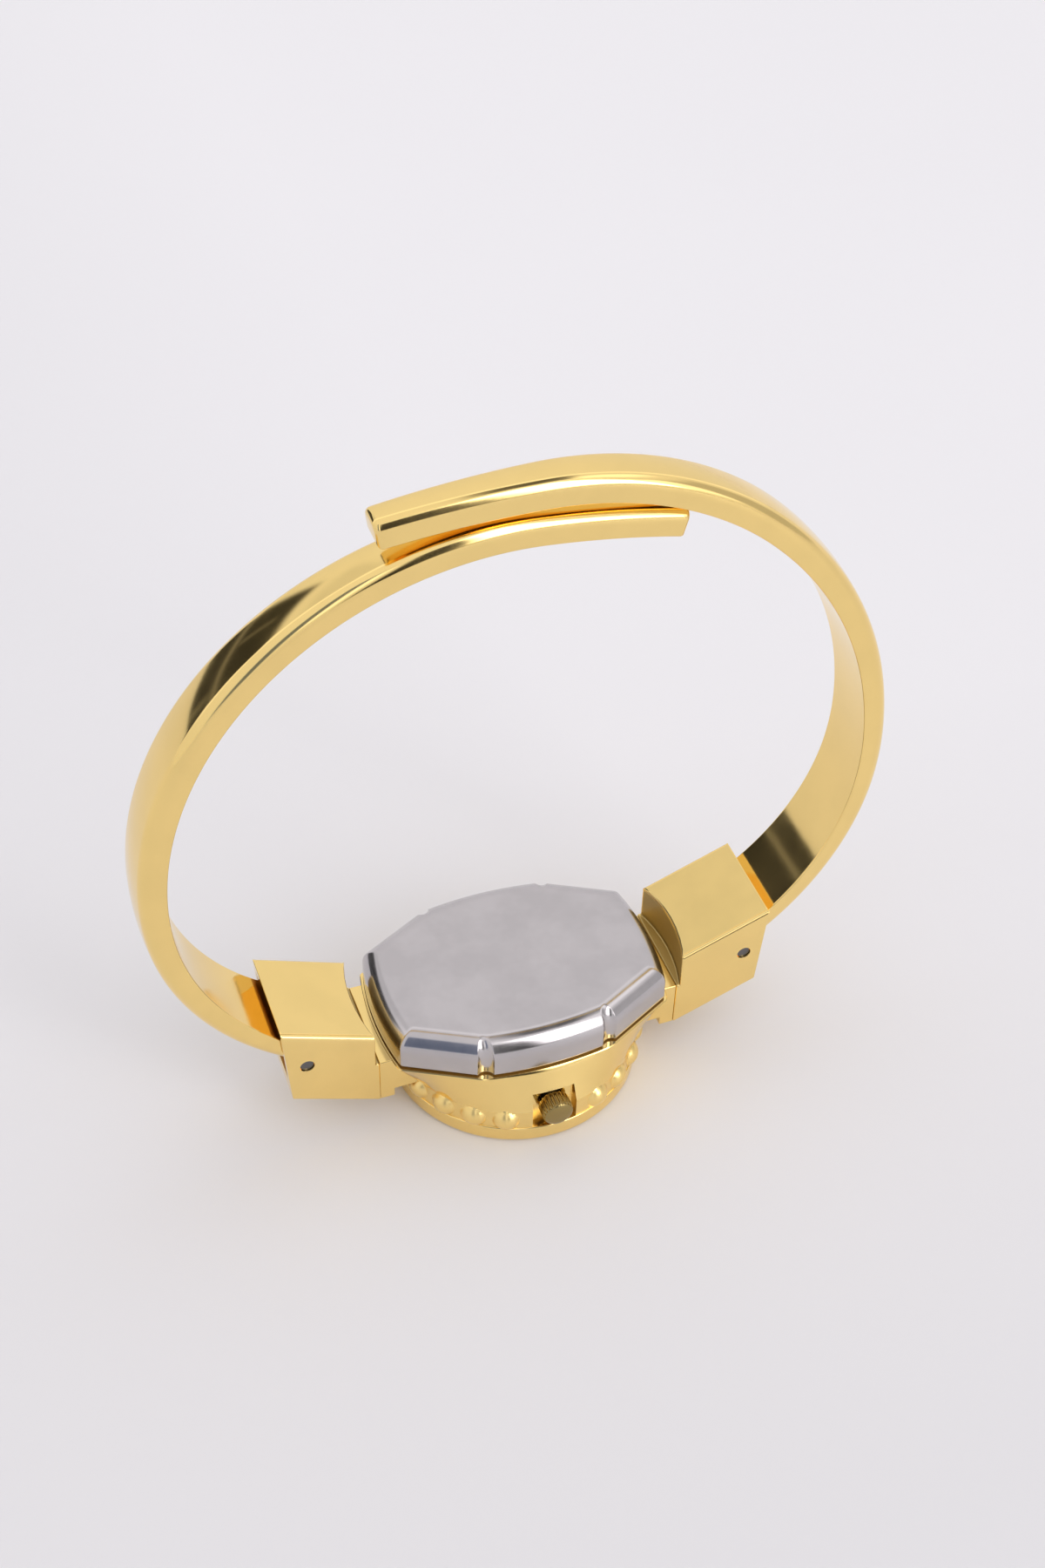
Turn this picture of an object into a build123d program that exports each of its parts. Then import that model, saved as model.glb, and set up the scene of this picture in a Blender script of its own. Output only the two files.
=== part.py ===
from build123d import *
import math
import os

os.makedirs("parts", exist_ok=True)

# Bangle watch, all lengths in millimetres.
# The watch lies dial down. X runs along the bangle, Y across it, Z up.
# The origin is the centre of the bezel's resting rim.

# Heights of the head, from the resting rim upwards
bezel_height = 1.7
flank_height = 1.9
skirt_height = 3.65
back_height = 3.45
flank_top = bezel_height + flank_height
ledge = flank_top + skirt_height
head_top = ledge + back_height

# One overrun for every cut, and the small fits
overrun = 1.0
slip = 0.03
seam = 0.05

# Steel back, an eight-sided outline with bowed long sides
back_half_length = 11.5
back_end_bow = 0.6
back_end_half_width = 5.3
back_notch_x = 5.45
back_notch_y = 8.45
back_side_bow = 0.5
back_wall = 0.8
back_top_wall = 0.9
back_edge = 2.0
back_corner = 0.4
back_foot_chamfer = 0.2
notch_radius = 0.8
notch_offset = 0.35

# Gold middle of the case
case_ledge_margin = 0.25
bead_count = 24
bead_radius = 1.25
bead_inset = 0.65
bead_edge = 0.6
case_wall = 1.5
dial_bore_depth = 4.05
rim_wall = 0.6
rim_height = 1.5
lug_half_width = 4.3
lug_overlap = 0.9
lug_length = 1.5

# Bezel, crystal and dial
bezel_rim_width = 1.8
bezel_edge = 0.5
bezel_land = 0.4
crystal_radius = 8.5
crystal_thickness = 1.0
crystal_recess = 0.25
crystal_edge = 0.15
gasket_width = 0.3
dial_margin = 0.3
dial_gap = 0.2
dial_thickness = 0.35
dial_level = 2.1
baton_length = 1.6
baton_width = 0.35
baton_thickness = 0.12
baton_inset = 1.9
hour_count = 12

# Movement envelope
plate_floor = dial_level + dial_thickness
plate_thickness = 1.7
plate_top = plate_floor + plate_thickness
movement_half_length = 6.8
movement_half_width = 5.3
movement_corner_x = 4.4
movement_corner_y = 3.2
holder_gap = 0.1
holder_height = 5.4

# Hands and motion work, stacked from the dial towards the crystal
cannon_radius = 0.45
cannon_tip_gap = 0.12
hand_thickness = 0.12
hand_gap = 0.18
minute_hand_inset = 1.9
minute_hand_width = 0.55
minute_hand_tip = 0.2
hour_hand_inset = 4.1
hour_hand_width = 0.8
hour_hand_tip = 0.3
hand_tail = 1.1
hand_boss_radius = 0.95
hour_pipe_bore = 0.5
hour_pipe_radius = 0.8
pocket_depth = 0.75
pocket_margin = 0.15

# Gear teeth
motion_module = 0.13
train_module = 0.11
cannon_teeth = 10
minute_wheel_teeth = 30
minute_pinion_teeth = 8
hour_wheel_teeth = 32
center_wheel_teeth = 40
third_pinion_teeth = 8
third_wheel_teeth = 36
rotor_pinion_teeth = 6
wheel_thickness = 0.18
pinion_thickness = 0.26
arbor_radius = 0.2
pivot_radius = 0.15
minute_wheel_angle = 60
third_wheel_angle = 200
rotor_angle = 120

# Train levels above the main plate
center_wheel_lift = 0.1
third_wheel_lift = 0.5
bridge_lift = 0.9
bridge_thickness = 0.25
rotor_radius = 0.7
rotor_height = 0.3
rotor_lift = 0.1
stator_hole_radius = 0.9
stator_lift = 0.03
stator_thickness = 0.22
stator_left = -6.2
stator_right = -2.6
stator_low = -3.7
stator_high = 3.6
stator_leg_width = 1.0
coil_length = 2.6
coil_width = 1.6
coil_height = 0.9
coil_centre_y = -2.0

# Supply and electronics
battery_radius = 3.4
battery_thickness = 2.6
battery_x = 3.45
battery_y = 1.75
battery_lift = 0.4
battery_edge = 0.2
board_lift = 1.17
board_thickness = 0.25
board_half_length = 6.0
board_low = -5.1
board_high = -2.1
chip_length = 1.6
chip_width = 1.1
chip_height = 0.5
chip_x = -4.6
chip_y = -2.95
can_radius = 0.7
can_length = 3.6
can_x = 0.4
can_y = -4.2
clamp_width = 1.4
clamp_thickness = 0.18
clamp_x = 3.6
clamp_y = -3.0

# Screws and posts
post_radius = 0.5
screw_radius = 0.28
screw_head_radius = 0.48
screw_head_height = 0.2
screw_slot_width = 0.12
screw_slot_depth = 0.1
bridge_post_xs = (-1.6, -1.5)
bridge_post_ys = (3.3, -3.6)
board_post_xs = (-4.1, 5.2)
board_post_ys = (-4.3, -3.5)

# Crown and winding parts
stem_level = 3.7
stem_radius = 0.4
stem_square = 0.52
stem_inner_y = -1.75
square_start_y = -3.9
groove_centre_y = -4.4
groove_width = 0.8
groove_radius = 0.25
crown_radius = 1.3
crown_gap = 0.25
crown_length = 1.6
crown_edge = 0.3
crown_flutes = 24
flute_radius = 0.13
crown_bore_radius = 0.98
crown_bore_depth = 1.2
crown_recess_half_width = 1.75
crown_recess_depth = 0.9
crown_recess_top = 5.2
crown_pull = 0.9
tube_radius = 0.75
tube_bore = 0.46
tube_inner_reach = 0.3
tube_outer_reach = 0.25
o_ring_width = 0.28
o_ring_inset = 0.35
clutch_radius = 0.7
clutch_length = 0.75
clutch_centre_y = -3.1
lever_pivot_x = 2.2
lever_width = 0.6
lever_thickness = 0.2
lever_lift = 0.1
lever_pin_radius = 0.2
lever_pivot_radius = 0.3

# Hinge blocks
block_half_width = 4.4
block_length = 7.9
block_undercut = 0.6
block_tilt = 22
block_drop = 0.25
block_height = 7.7
block_edge = 0.35
block_back_gap = 1.9
slot_half_width = 3.6
slot_inset = 4.2
slot_floor_below_pin = 1.85
slot_roof_thickness = 1.15
pin_inset = 5.95
pin_below_top = 1.4
pin_radius = 0.55
pin_dish = 0.15
spring_thickness = 0.2
spring_half_width = 2.6
spring_gap = 0.12

# Bangle arms, each a tapering band on a chain of tangent arcs
arm_root_width = 6.8
arm_tip_width = 2.8
arm_thickness = 2.2
arm_root_edge = 0.7
arm_tip_edge = 0.6
arm_crown = 0.12
arm_neck_length = 1.9
arm_rise = 36.7
knuckle_radius = 1.45
left_radii = (21.5, 25.0, 27.0, 27.5, 74.0)
left_turns = (46.0, 10.0, 44.5, 48.5, 8.5)
right_radii = (21.5, 25.0, 31.5, 26.7, 81.0)
right_turns = (46.0, 10.0, 45.0, 42.5, 8.5)

# Places worked out from the sizes above
bezel_radius = crystal_radius + gasket_width + bezel_rim_width
bezel_inner_radius = crystal_radius - bezel_land
dial_radius = crystal_radius + dial_margin
dial_bore_radius = dial_radius + dial_gap
skirt_radius = dial_bore_radius + case_wall
bead_pitch_radius = skirt_radius - bead_inset
bead_phase = 180 / bead_count
lug_root = skirt_radius - lug_overlap
baton_centre_radius = dial_radius - baton_inset
minute_hand_length = dial_radius - minute_hand_inset
hour_hand_length = dial_radius - hour_hand_inset
crown_recess_y = crown_recess_depth - skirt_radius
crown_inner_y = crown_recess_y - crown_gap
tube_inner_y = tube_inner_reach - dial_bore_radius
tube_outer_y = -skirt_radius - tube_outer_reach
o_ring_y = tube_outer_y + o_ring_inset
block_seat_x = back_half_length + lug_length
block_end_radius = back_half_length + back_end_bow + block_back_gap
slot_inner_x = block_seat_x + slot_inset
pin_x = block_seat_x + pin_inset
pin_z = head_top - pin_below_top
cannon_tip = crystal_recess + crystal_thickness + cannon_tip_gap
minute_hand_level = cannon_tip
hour_hand_level = minute_hand_level + hand_thickness + hand_gap
hour_wheel_level = plate_floor + 0.5 * pocket_margin
minute_wheel_level = plate_floor + pocket_depth - pocket_margin - wheel_thickness
center_wheel_level = plate_top + center_wheel_lift
third_wheel_level = plate_top + third_wheel_lift
bridge_level = plate_top + bridge_lift
board_level = plate_top + board_lift
battery_level = plate_top + battery_lift
motion_distance = motion_module * (cannon_teeth + minute_wheel_teeth) / 2
train_distance = train_module * (center_wheel_teeth + third_pinion_teeth) / 2
rotor_distance = train_module * (third_wheel_teeth + rotor_pinion_teeth) / 2


def polar(radius, degrees, x=0, y=0):
    """Point at a radius and an angle about a centre."""
    turn = math.radians(degrees)
    return (x + radius * math.cos(turn), y + radius * math.sin(turn))


minute_wheel_place = polar(motion_distance, minute_wheel_angle)
third_wheel_place = polar(train_distance, third_wheel_angle)
rotor_place = polar(rotor_distance, rotor_angle, *third_wheel_place)


def back_outline(growth=0):
    """Eight-sided outline with bowed ends and sides, grown outwards by growth."""
    end_x = back_half_length
    end_y = back_end_half_width
    side_x = back_notch_x
    side_y = back_notch_y
    with BuildSketch() as sketch:
        with BuildLine():
            ThreePointArc((-side_x, -side_y), (0, -side_y - back_side_bow), (side_x, -side_y))
            Line((side_x, -side_y), (end_x, -end_y))
            ThreePointArc((end_x, -end_y), (end_x + back_end_bow, 0), (end_x, end_y))
            Line((end_x, end_y), (side_x, side_y))
            ThreePointArc((side_x, side_y), (0, side_y + back_side_bow), (-side_x, side_y))
            Line((-side_x, side_y), (-end_x, end_y))
            ThreePointArc((-end_x, end_y), (-end_x - back_end_bow, 0), (-end_x, -end_y))
            Line((-end_x, -end_y), (-side_x, -side_y))
        make_face()
        if growth != 0:
            offset(amount=growth, kind=Kind.INTERSECTION)
    return sketch.sketch


def round_outline(radius):
    """Circle cut into eight arcs that answer the eight sides of the back outline."""
    side = math.degrees(math.atan2(back_notch_y, back_notch_x))
    end = math.degrees(math.atan2(back_end_half_width, back_half_length))
    stops = [-180 + side, -side, -end, end, side, 180 - side, 180 - end, 180 + end]
    with BuildSketch() as sketch:
        with BuildLine():
            for first, last in zip(stops, stops[1:] + [stops[0] + 360]):
                middle = (first + last) / 2
                ThreePointArc(polar(radius, first), polar(radius, middle), polar(radius, last))
        make_face()
    return sketch.sketch


def movement_outline(growth=0):
    """Rectangle with clipped corners, grown outwards by growth."""
    long_x = movement_half_length + growth
    long_y = movement_corner_y + growth
    short_x = movement_corner_x + growth
    short_y = movement_half_width + growth
    with BuildSketch() as sketch:
        with BuildLine():
            Polyline(
                (long_x, -long_y), (long_x, long_y), (short_x, short_y), (-short_x, short_y),
                (-long_x, long_y), (-long_x, -long_y), (-short_x, -short_y), (short_x, -short_y),
                close=True,
            )
        make_face()
    return sketch.sketch


def gear_outline(teeth, module, phase=0, bore=0):
    """Wheel with plain tapered teeth; the first tooth points at the phase angle."""
    pitch = module * teeth / 2
    tip = pitch + 0.8 * module
    root = pitch - 1.1 * module
    step = 360 / teeth
    corner_shares = ((-0.27, root), (-0.11, tip), (0.11, tip), (0.27, root))
    corners = []
    for tooth in range(teeth):
        for share, radius in corner_shares:
            corners.append(polar(radius, phase + (tooth + share) * step))
    with BuildSketch() as sketch:
        with BuildLine():
            Polyline(*corners, close=True)
        make_face()
        if bore > 0:
            Circle(bore, mode=Mode.SUBTRACT)
    return sketch.sketch


def hand_outline(length, width, tip_width, bore):
    """Tapered hand pointing to +X, with a boss round its hole and a short tail."""
    with BuildSketch() as sketch:
        with BuildLine():
            Polyline(
                (-hand_tail, -width / 2), (0, -width / 2), (length, -tip_width / 2),
                (length, tip_width / 2), (0, width / 2), (-hand_tail, width / 2), close=True,
            )
        make_face()
        Circle(hand_boss_radius)
        Circle(bore, mode=Mode.SUBTRACT)
    return sketch.sketch


def level(height, x=0, y=0):
    """Horizontal plane at a height, centred on x and y."""
    return Plane(origin=(x, y, height), x_dir=(1, 0, 0), z_dir=(0, 0, 1))


def across(y, x=0, z=0):
    """Upright plane at y that faces the front, with local x along X and local y along Z."""
    return Plane(origin=(x, y, z), x_dir=(1, 0, 0), z_dir=(0, -1, 0))


def save(part, label):
    """Label one piece and write it to its own file."""
    part.label = label
    export_step(part, "parts/" + label + ".step")


# Bezel: a round ring with a recess for the crystal in its resting side
with BuildPart() as bezel:
    with BuildSketch(Plane.XY):
        Circle(bezel_radius)
        Circle(bezel_inner_radius, mode=Mode.SUBTRACT)
    extrude(amount=bezel_height)
    with BuildSketch(Plane.XY):
        Circle(crystal_radius + gasket_width)
    extrude(amount=crystal_recess + crystal_thickness, mode=Mode.SUBTRACT)
    rims = bezel.edges().filter_by(GeomType.CIRCLE).sort_by(SortBy.RADIUS)
    fillet(rims[-2:].sort_by(Axis.Z)[0], bezel_edge)
save(bezel.part, "bezel")

with BuildPart() as crystal:
    with BuildSketch(level(crystal_recess)):
        Circle(crystal_radius)
    extrude(amount=crystal_thickness)
    chamfer(crystal.edges().group_by(Axis.Z)[0], crystal_edge)
save(crystal.part, "crystal")

with BuildPart() as crystal_gasket:
    with BuildSketch(level(crystal_recess)):
        Circle(crystal_radius + gasket_width)
        Circle(crystal_radius, mode=Mode.SUBTRACT)
    extrude(amount=crystal_thickness)
save(crystal_gasket.part, "crystal_gasket")

# Case body: beaded round flank, skirt that rises to the eight-sided ledge, rim and two lugs
cavity_growth = -(back_wall + seam + rim_wall)
with BuildPart() as case_body:
    with BuildSketch(level(flank_top)):
        add(round_outline(skirt_radius))
    with BuildSketch(level(ledge)):
        add(back_outline(case_ledge_margin))
    loft(ruled=True)
    with BuildSketch(level(bezel_height)):
        Circle(skirt_radius)
    extrude(amount=flank_height)
    with BuildSketch(level(bezel_height)):
        with PolarLocations(bead_pitch_radius, bead_count, bead_phase):
            Circle(bead_radius)
    extrude(amount=flank_height)
    with BuildSketch(Plane.XZ):
        with BuildLine():
            outer = bead_pitch_radius + bead_radius
            crest = outer - bead_edge
            Line((0, bezel_height), (crest, bezel_height))
            CenterArc((crest, bezel_height + bead_edge), bead_edge, -90, 90)
            Line((outer, bezel_height + bead_edge), (outer, flank_top - bead_edge))
            CenterArc((crest, flank_top - bead_edge), bead_edge, 0, 90)
            reach = back_half_length + 2 * overrun
            Polyline(
                (crest, flank_top), (reach, flank_top), (reach, ledge), (0, ledge), (0, bezel_height)
            )
        make_face()
    revolve(axis=Axis.Z, mode=Mode.INTERSECT)
    for side in (-1, 1):
        low_x = side * (bezel_radius + bead_radius)
        lug_low = head_top - block_drop - block_height
        with BuildSketch(Plane.XZ):
            with BuildLine():
                Polyline(
                    (side * lug_root, ledge), (side * block_seat_x, ledge),
                    (side * block_seat_x, lug_low), (low_x, lug_low),
                    (low_x, flank_top), (side * lug_root, flank_top), close=True,
                )
            make_face()
        extrude(amount=lug_half_width, both=True)
    with BuildSketch(level(ledge)):
        add(back_outline(-back_wall - seam))
    extrude(amount=rim_height)
    with BuildSketch(level(bezel_height)):
        Circle(dial_bore_radius)
    extrude(amount=dial_bore_depth, mode=Mode.SUBTRACT)
    with BuildSketch(level(bezel_height + dial_bore_depth)):
        add(back_outline(cavity_growth))
    extrude(amount=ledge + rim_height - bezel_height - dial_bore_depth, mode=Mode.SUBTRACT)
    with BuildSketch(across(crown_recess_y)):
        with BuildLine():
            wide = crown_recess_half_width
            Polyline(
                (-wide, bezel_height - overrun), (wide, bezel_height - overrun),
                (wide, crown_recess_top), (-wide, crown_recess_top), close=True,
            )
        make_face()
    extrude(amount=crown_length + overrun, mode=Mode.SUBTRACT)
    with BuildSketch(across(crown_recess_y - overrun, 0, stem_level)):
        Circle(tube_radius)
    extrude(amount=-3 * overrun, mode=Mode.SUBTRACT)
save(case_body.part, "case_body")

# Steel back: a shallow box with scalloped corners
with BuildPart() as case_back:
    with BuildSketch(level(ledge)):
        add(back_outline())
    extrude(amount=back_height)
    uprights = case_back.edges().filter_by(Axis.Z).sort_by(Axis.X)
    fillet(uprights[:2] + uprights[-2:], back_corner)
    fillet(case_back.edges().group_by(Axis.Z)[-1], back_edge)
    with BuildSketch(level(ledge - overrun)):
        for sign_x in (-1, 1):
            for sign_y in (-1, 1):
                with Locations((sign_x * back_notch_x, sign_y * (back_notch_y + notch_offset))):
                    Circle(notch_radius)
    extrude(amount=back_height + 2 * overrun, mode=Mode.SUBTRACT)
    chamfer(case_back.edges().group_by(Axis.Z)[0], back_foot_chamfer)
    with BuildSketch(level(ledge)):
        add(back_outline(-back_wall))
    extrude(amount=back_height - back_top_wall, mode=Mode.SUBTRACT)
save(case_back.part, "case_back")

with BuildPart() as case_back_gasket:
    with BuildSketch(level(ledge + rim_height)):
        add(back_outline(-back_wall - seam))
        add(back_outline(cavity_growth), mode=Mode.SUBTRACT)
    extrude(amount=gasket_width)
save(case_back_gasket.part, "case_back_gasket")

# Dial with twelve plain batons on its face
with BuildPart() as dial:
    with BuildSketch(level(dial_level)):
        Circle(dial_radius)
        Circle(hour_pipe_radius + pocket_margin, mode=Mode.SUBTRACT)
    extrude(amount=dial_thickness)
save(dial.part, "dial")

with BuildPart() as dial_markers:
    with BuildSketch(level(dial_level)):
        with PolarLocations(baton_centre_radius, hour_count):
            Rectangle(baton_length, baton_width)
    extrude(amount=-baton_thickness)
save(dial_markers.part, "dial_markers")

# Hands, which point to twelve o'clock along +X and to two o'clock at rest
with BuildPart() as minute_hand:
    with BuildSketch(level(minute_hand_level)):
        add(hand_outline(minute_hand_length, minute_hand_width, minute_hand_tip, cannon_radius))
    extrude(amount=hand_thickness)
save(minute_hand.part, "minute_hand")

with BuildPart() as hour_hand:
    with BuildSketch(level(hour_hand_level)):
        add(hand_outline(hour_hand_length, hour_hand_width, hour_hand_tip, hour_pipe_bore).rotate(
            Axis.Z, 60))
    extrude(amount=hand_thickness)
save(hour_hand.part, "hour_hand")

# Centre wheel with its cannon pinion and arbor
with BuildPart() as center_wheel:
    with BuildSketch(level(minute_hand_level)):
        Circle(cannon_radius)
    extrude(amount=center_wheel_level - minute_hand_level)
    with BuildSketch(level(minute_wheel_level)):
        add(gear_outline(cannon_teeth, motion_module, minute_wheel_angle))
    extrude(amount=pinion_thickness)
    with BuildSketch(level(center_wheel_level)):
        add(gear_outline(center_wheel_teeth, train_module, third_wheel_angle))
    extrude(amount=wheel_thickness)
    with BuildSketch(level(center_wheel_level)):
        Circle(arbor_radius)
    extrude(amount=bridge_level + bridge_thickness - center_wheel_level)
save(center_wheel.part, "center_wheel")

# Hour wheel with the pipe that carries the hour hand
with BuildPart() as hour_wheel:
    with BuildSketch(level(hour_wheel_level)):
        add(gear_outline(hour_wheel_teeth, motion_module, minute_wheel_angle))
    extrude(amount=wheel_thickness)
    with BuildSketch(level(hour_hand_level + hand_thickness)):
        Circle(hour_pipe_radius)
    extrude(amount=hour_wheel_level - hour_hand_level - hand_thickness)
    with BuildSketch(level(hour_hand_level)):
        Circle(hour_pipe_bore)
    extrude(amount=hour_wheel_level + wheel_thickness - hour_hand_level, mode=Mode.SUBTRACT)
save(hour_wheel.part, "hour_wheel")

# Minute wheel and its pinion, in mesh with the cannon pinion and the hour wheel
minute_phase = minute_wheel_angle + 180
with BuildPart() as minute_wheel:
    with BuildSketch(level(minute_wheel_level, *minute_wheel_place)):
        add(gear_outline(minute_wheel_teeth, motion_module,
                         minute_phase + 180 / minute_wheel_teeth, pivot_radius + slip))
    extrude(amount=wheel_thickness)
    with BuildSketch(level(hour_wheel_level, *minute_wheel_place)):
        add(gear_outline(minute_pinion_teeth, motion_module,
                         minute_phase + 180 / minute_pinion_teeth, pivot_radius + slip))
    extrude(amount=minute_wheel_level - hour_wheel_level)
save(minute_wheel.part, "minute_wheel")

# Third wheel, in mesh with the centre wheel and the rotor
third_phase = third_wheel_angle + 180
with BuildPart() as third_wheel:
    with BuildSketch(level(center_wheel_level - slip, *third_wheel_place)):
        add(gear_outline(third_pinion_teeth, train_module, third_phase + 180 / third_pinion_teeth))
    extrude(amount=third_wheel_level + slip - center_wheel_level)
    with BuildSketch(level(third_wheel_level, *third_wheel_place)):
        add(gear_outline(third_wheel_teeth, train_module, rotor_angle))
    extrude(amount=wheel_thickness)
    with BuildSketch(level(plate_top - pocket_margin, *third_wheel_place)):
        Circle(pivot_radius)
    extrude(amount=bridge_level + bridge_thickness - plate_top + pocket_margin)
save(third_wheel.part, "third_wheel")

# Rotor: a small magnet with a pinion above it
rotor_phase = rotor_angle + 180
with BuildPart() as rotor:
    with BuildSketch(level(plate_top + rotor_lift, *rotor_place)):
        Circle(rotor_radius)
    extrude(amount=rotor_height)
    with BuildSketch(level(plate_top + rotor_lift + rotor_height, *rotor_place)):
        add(gear_outline(rotor_pinion_teeth, train_module, rotor_phase + 180 / rotor_pinion_teeth))
    extrude(amount=third_wheel_lift + wheel_thickness - rotor_lift - rotor_height)
    with BuildSketch(level(plate_top - pocket_margin, *rotor_place)):
        Circle(pivot_radius)
    extrude(amount=bridge_level + bridge_thickness - plate_top + pocket_margin)
save(rotor.part, "rotor")

# Main plate: pocket for the motion work, channel for the stem, posts and pivots
hour_pocket = motion_module * (hour_wheel_teeth / 2 + 1) + pocket_margin
minute_pocket = motion_module * (minute_wheel_teeth / 2 + 1) + pocket_margin
channel_half = stem_radius + pocket_margin
clutch_half = clutch_radius + pocket_margin
with BuildPart() as main_plate:
    with BuildSketch(level(plate_floor)):
        add(movement_outline())
    extrude(amount=plate_thickness)
    with BuildSketch(level(plate_floor)):
        Circle(hour_pocket)
        with Locations(minute_wheel_place):
            Circle(minute_pocket)
    extrude(amount=pocket_depth, mode=Mode.SUBTRACT)
    with BuildSketch(level(plate_floor + 0.5 * pocket_margin, *minute_wheel_place)):
        Circle(pivot_radius)
    extrude(amount=pocket_depth)
    with BuildSketch(level(plate_floor)):
        Circle(cannon_radius + slip)
    extrude(amount=plate_thickness, mode=Mode.SUBTRACT)
    with BuildSketch(level(plate_top - pocket_margin - slip)):
        with Locations(third_wheel_place, rotor_place):
            Circle(pivot_radius + slip)
    extrude(amount=pocket_margin + 2 * slip, mode=Mode.SUBTRACT)
    with BuildSketch(level(stem_level - channel_half)):
        with Locations((0, (stem_inner_y - movement_half_width) / 2 + pocket_margin)):
            Rectangle(2 * channel_half, movement_half_width + stem_inner_y + 4 * pocket_margin)
    extrude(amount=plate_top - stem_level + channel_half, mode=Mode.SUBTRACT)
    with BuildSketch(level(stem_level - clutch_half)):
        with Locations((0, clutch_centre_y)):
            Rectangle(2 * clutch_half, clutch_length + pocket_margin)
    extrude(amount=plate_top - stem_level + clutch_half, mode=Mode.SUBTRACT)
    with BuildSketch(level(plate_top - 0.5 * coil_height)):
        with Locations((stator_left + stator_leg_width / 2, coil_centre_y)):
            Rectangle(coil_width + pocket_margin, coil_length + pocket_margin)
    extrude(amount=coil_height, mode=Mode.SUBTRACT)
    with BuildSketch(level(plate_top)):
        with Locations(*zip(bridge_post_xs, bridge_post_ys)):
            Circle(post_radius)
    extrude(amount=bridge_lift)
    with BuildSketch(level(plate_top)):
        with Locations(*zip(board_post_xs, board_post_ys)):
            Circle(post_radius)
    extrude(amount=board_lift)
    with BuildSketch(level(plate_top, lever_pivot_x, groove_centre_y)):
        Circle(lever_pivot_radius)
    extrude(amount=lever_lift + lever_thickness)
save(main_plate.part, "main_plate")

with BuildPart() as train_bridge:
    with BuildSketch(level(bridge_level)):
        with BuildLine():
            left_x = rotor_place[0] - 2 * post_radius
            right_x = 3 * arbor_radius
            top_y = bridge_post_ys[0] + 1.5 * post_radius
            low_y = bridge_post_ys[1] - 1.5 * post_radius
            top_x = bridge_post_xs[0] + 1.5 * post_radius
            low_x = bridge_post_xs[1] + 1.5 * post_radius
            Polyline(
                (left_x, top_y), (left_x, third_wheel_place[1]), (low_x - 3 * post_radius, low_y),
                (low_x, low_y), (right_x, -2 * arbor_radius), (right_x, 2 * arbor_radius),
                (top_x, top_y), close=True,
            )
        make_face()
        with Locations((battery_x, battery_y)):
            Circle(battery_radius + holder_gap, mode=Mode.SUBTRACT)
        with Locations((0, 0)):
            Circle(arbor_radius + slip, mode=Mode.SUBTRACT)
        with Locations(third_wheel_place, rotor_place):
            Circle(pivot_radius + slip, mode=Mode.SUBTRACT)
    extrude(amount=bridge_thickness)
save(train_bridge.part, "train_bridge")

# Slotted screws on the bridge and the circuit board
screw_places = list(zip(bridge_post_xs, bridge_post_ys, (bridge_level + bridge_thickness,) * 2))
screw_places += list(zip(board_post_xs, board_post_ys, (board_level + board_thickness,) * 2))
with BuildPart() as movement_screws:
    for x, y, seat in screw_places:
        with BuildSketch(level(seat, x, y)):
            Circle(screw_head_radius)
        extrude(amount=screw_head_height)
        with BuildSketch(level(seat + screw_head_height - screw_slot_depth, x, y)):
            Rectangle(2 * screw_head_radius, screw_slot_width)
        extrude(amount=screw_slot_depth, mode=Mode.SUBTRACT)
save(movement_screws.part, "movement_screws")

# Stepping motor: stator with its leg, and the coil round the leg
with BuildPart() as stator:
    with BuildSketch(level(plate_top + stator_lift)):
        with BuildLine():
            leg_x = stator_left + stator_leg_width
            foot_y = rotor_place[1] - stator_hole_radius - arbor_radius
            Polyline(
                (stator_left, stator_low), (leg_x, stator_low), (leg_x, foot_y), (stator_right, foot_y),
                (stator_right, stator_high), (stator_left, stator_high), close=True,
            )
        make_face()
        with Locations(rotor_place):
            Circle(stator_hole_radius, mode=Mode.SUBTRACT)
    extrude(amount=stator_thickness)
save(stator.part, "stator")

coil_x = stator_left + stator_leg_width / 2
with BuildPart() as coil:
    with BuildSketch(across(coil_centre_y - coil_length / 2, coil_x, plate_top + stator_lift)):
        Rectangle(coil_width, coil_height)
        with Locations((0, stator_thickness / 2)):
            Rectangle(stator_leg_width, stator_thickness, mode=Mode.SUBTRACT)
    extrude(amount=-coil_length)
save(coil.part, "coil")

# Circuit board, chip, quartz can, battery and its clamp
with BuildPart() as circuit_board:
    with BuildSketch(level(board_level)):
        with Locations((0, (board_low + board_high) / 2)):
            Rectangle(2 * board_half_length, board_high - board_low)
        add(movement_outline(), mode=Mode.INTERSECT)
        with Locations((bridge_post_xs[1], bridge_post_ys[1])):
            Circle(screw_head_radius + pocket_margin, mode=Mode.SUBTRACT)
    extrude(amount=board_thickness)
save(circuit_board.part, "circuit_board")

with BuildPart() as ic_chip:
    with BuildSketch(level(board_level + board_thickness, chip_x, chip_y)):
        Rectangle(chip_length, chip_width)
    extrude(amount=chip_height)
save(ic_chip.part, "ic_chip")

with BuildPart() as quartz_can:
    can_plane = Plane(
        origin=(can_x - can_length / 2, can_y, board_level + board_thickness + can_radius),
        x_dir=(0, 1, 0), z_dir=(1, 0, 0))
    with BuildSketch(can_plane):
        Circle(can_radius)
    extrude(amount=can_length)
save(quartz_can.part, "quartz_can")

with BuildPart() as battery:
    with BuildSketch(level(battery_level, battery_x, battery_y)):
        Circle(battery_radius)
    extrude(amount=battery_thickness)
    fillet(battery.edges().group_by(Axis.Z)[-1], battery_edge)
save(battery.part, "battery")

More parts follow.
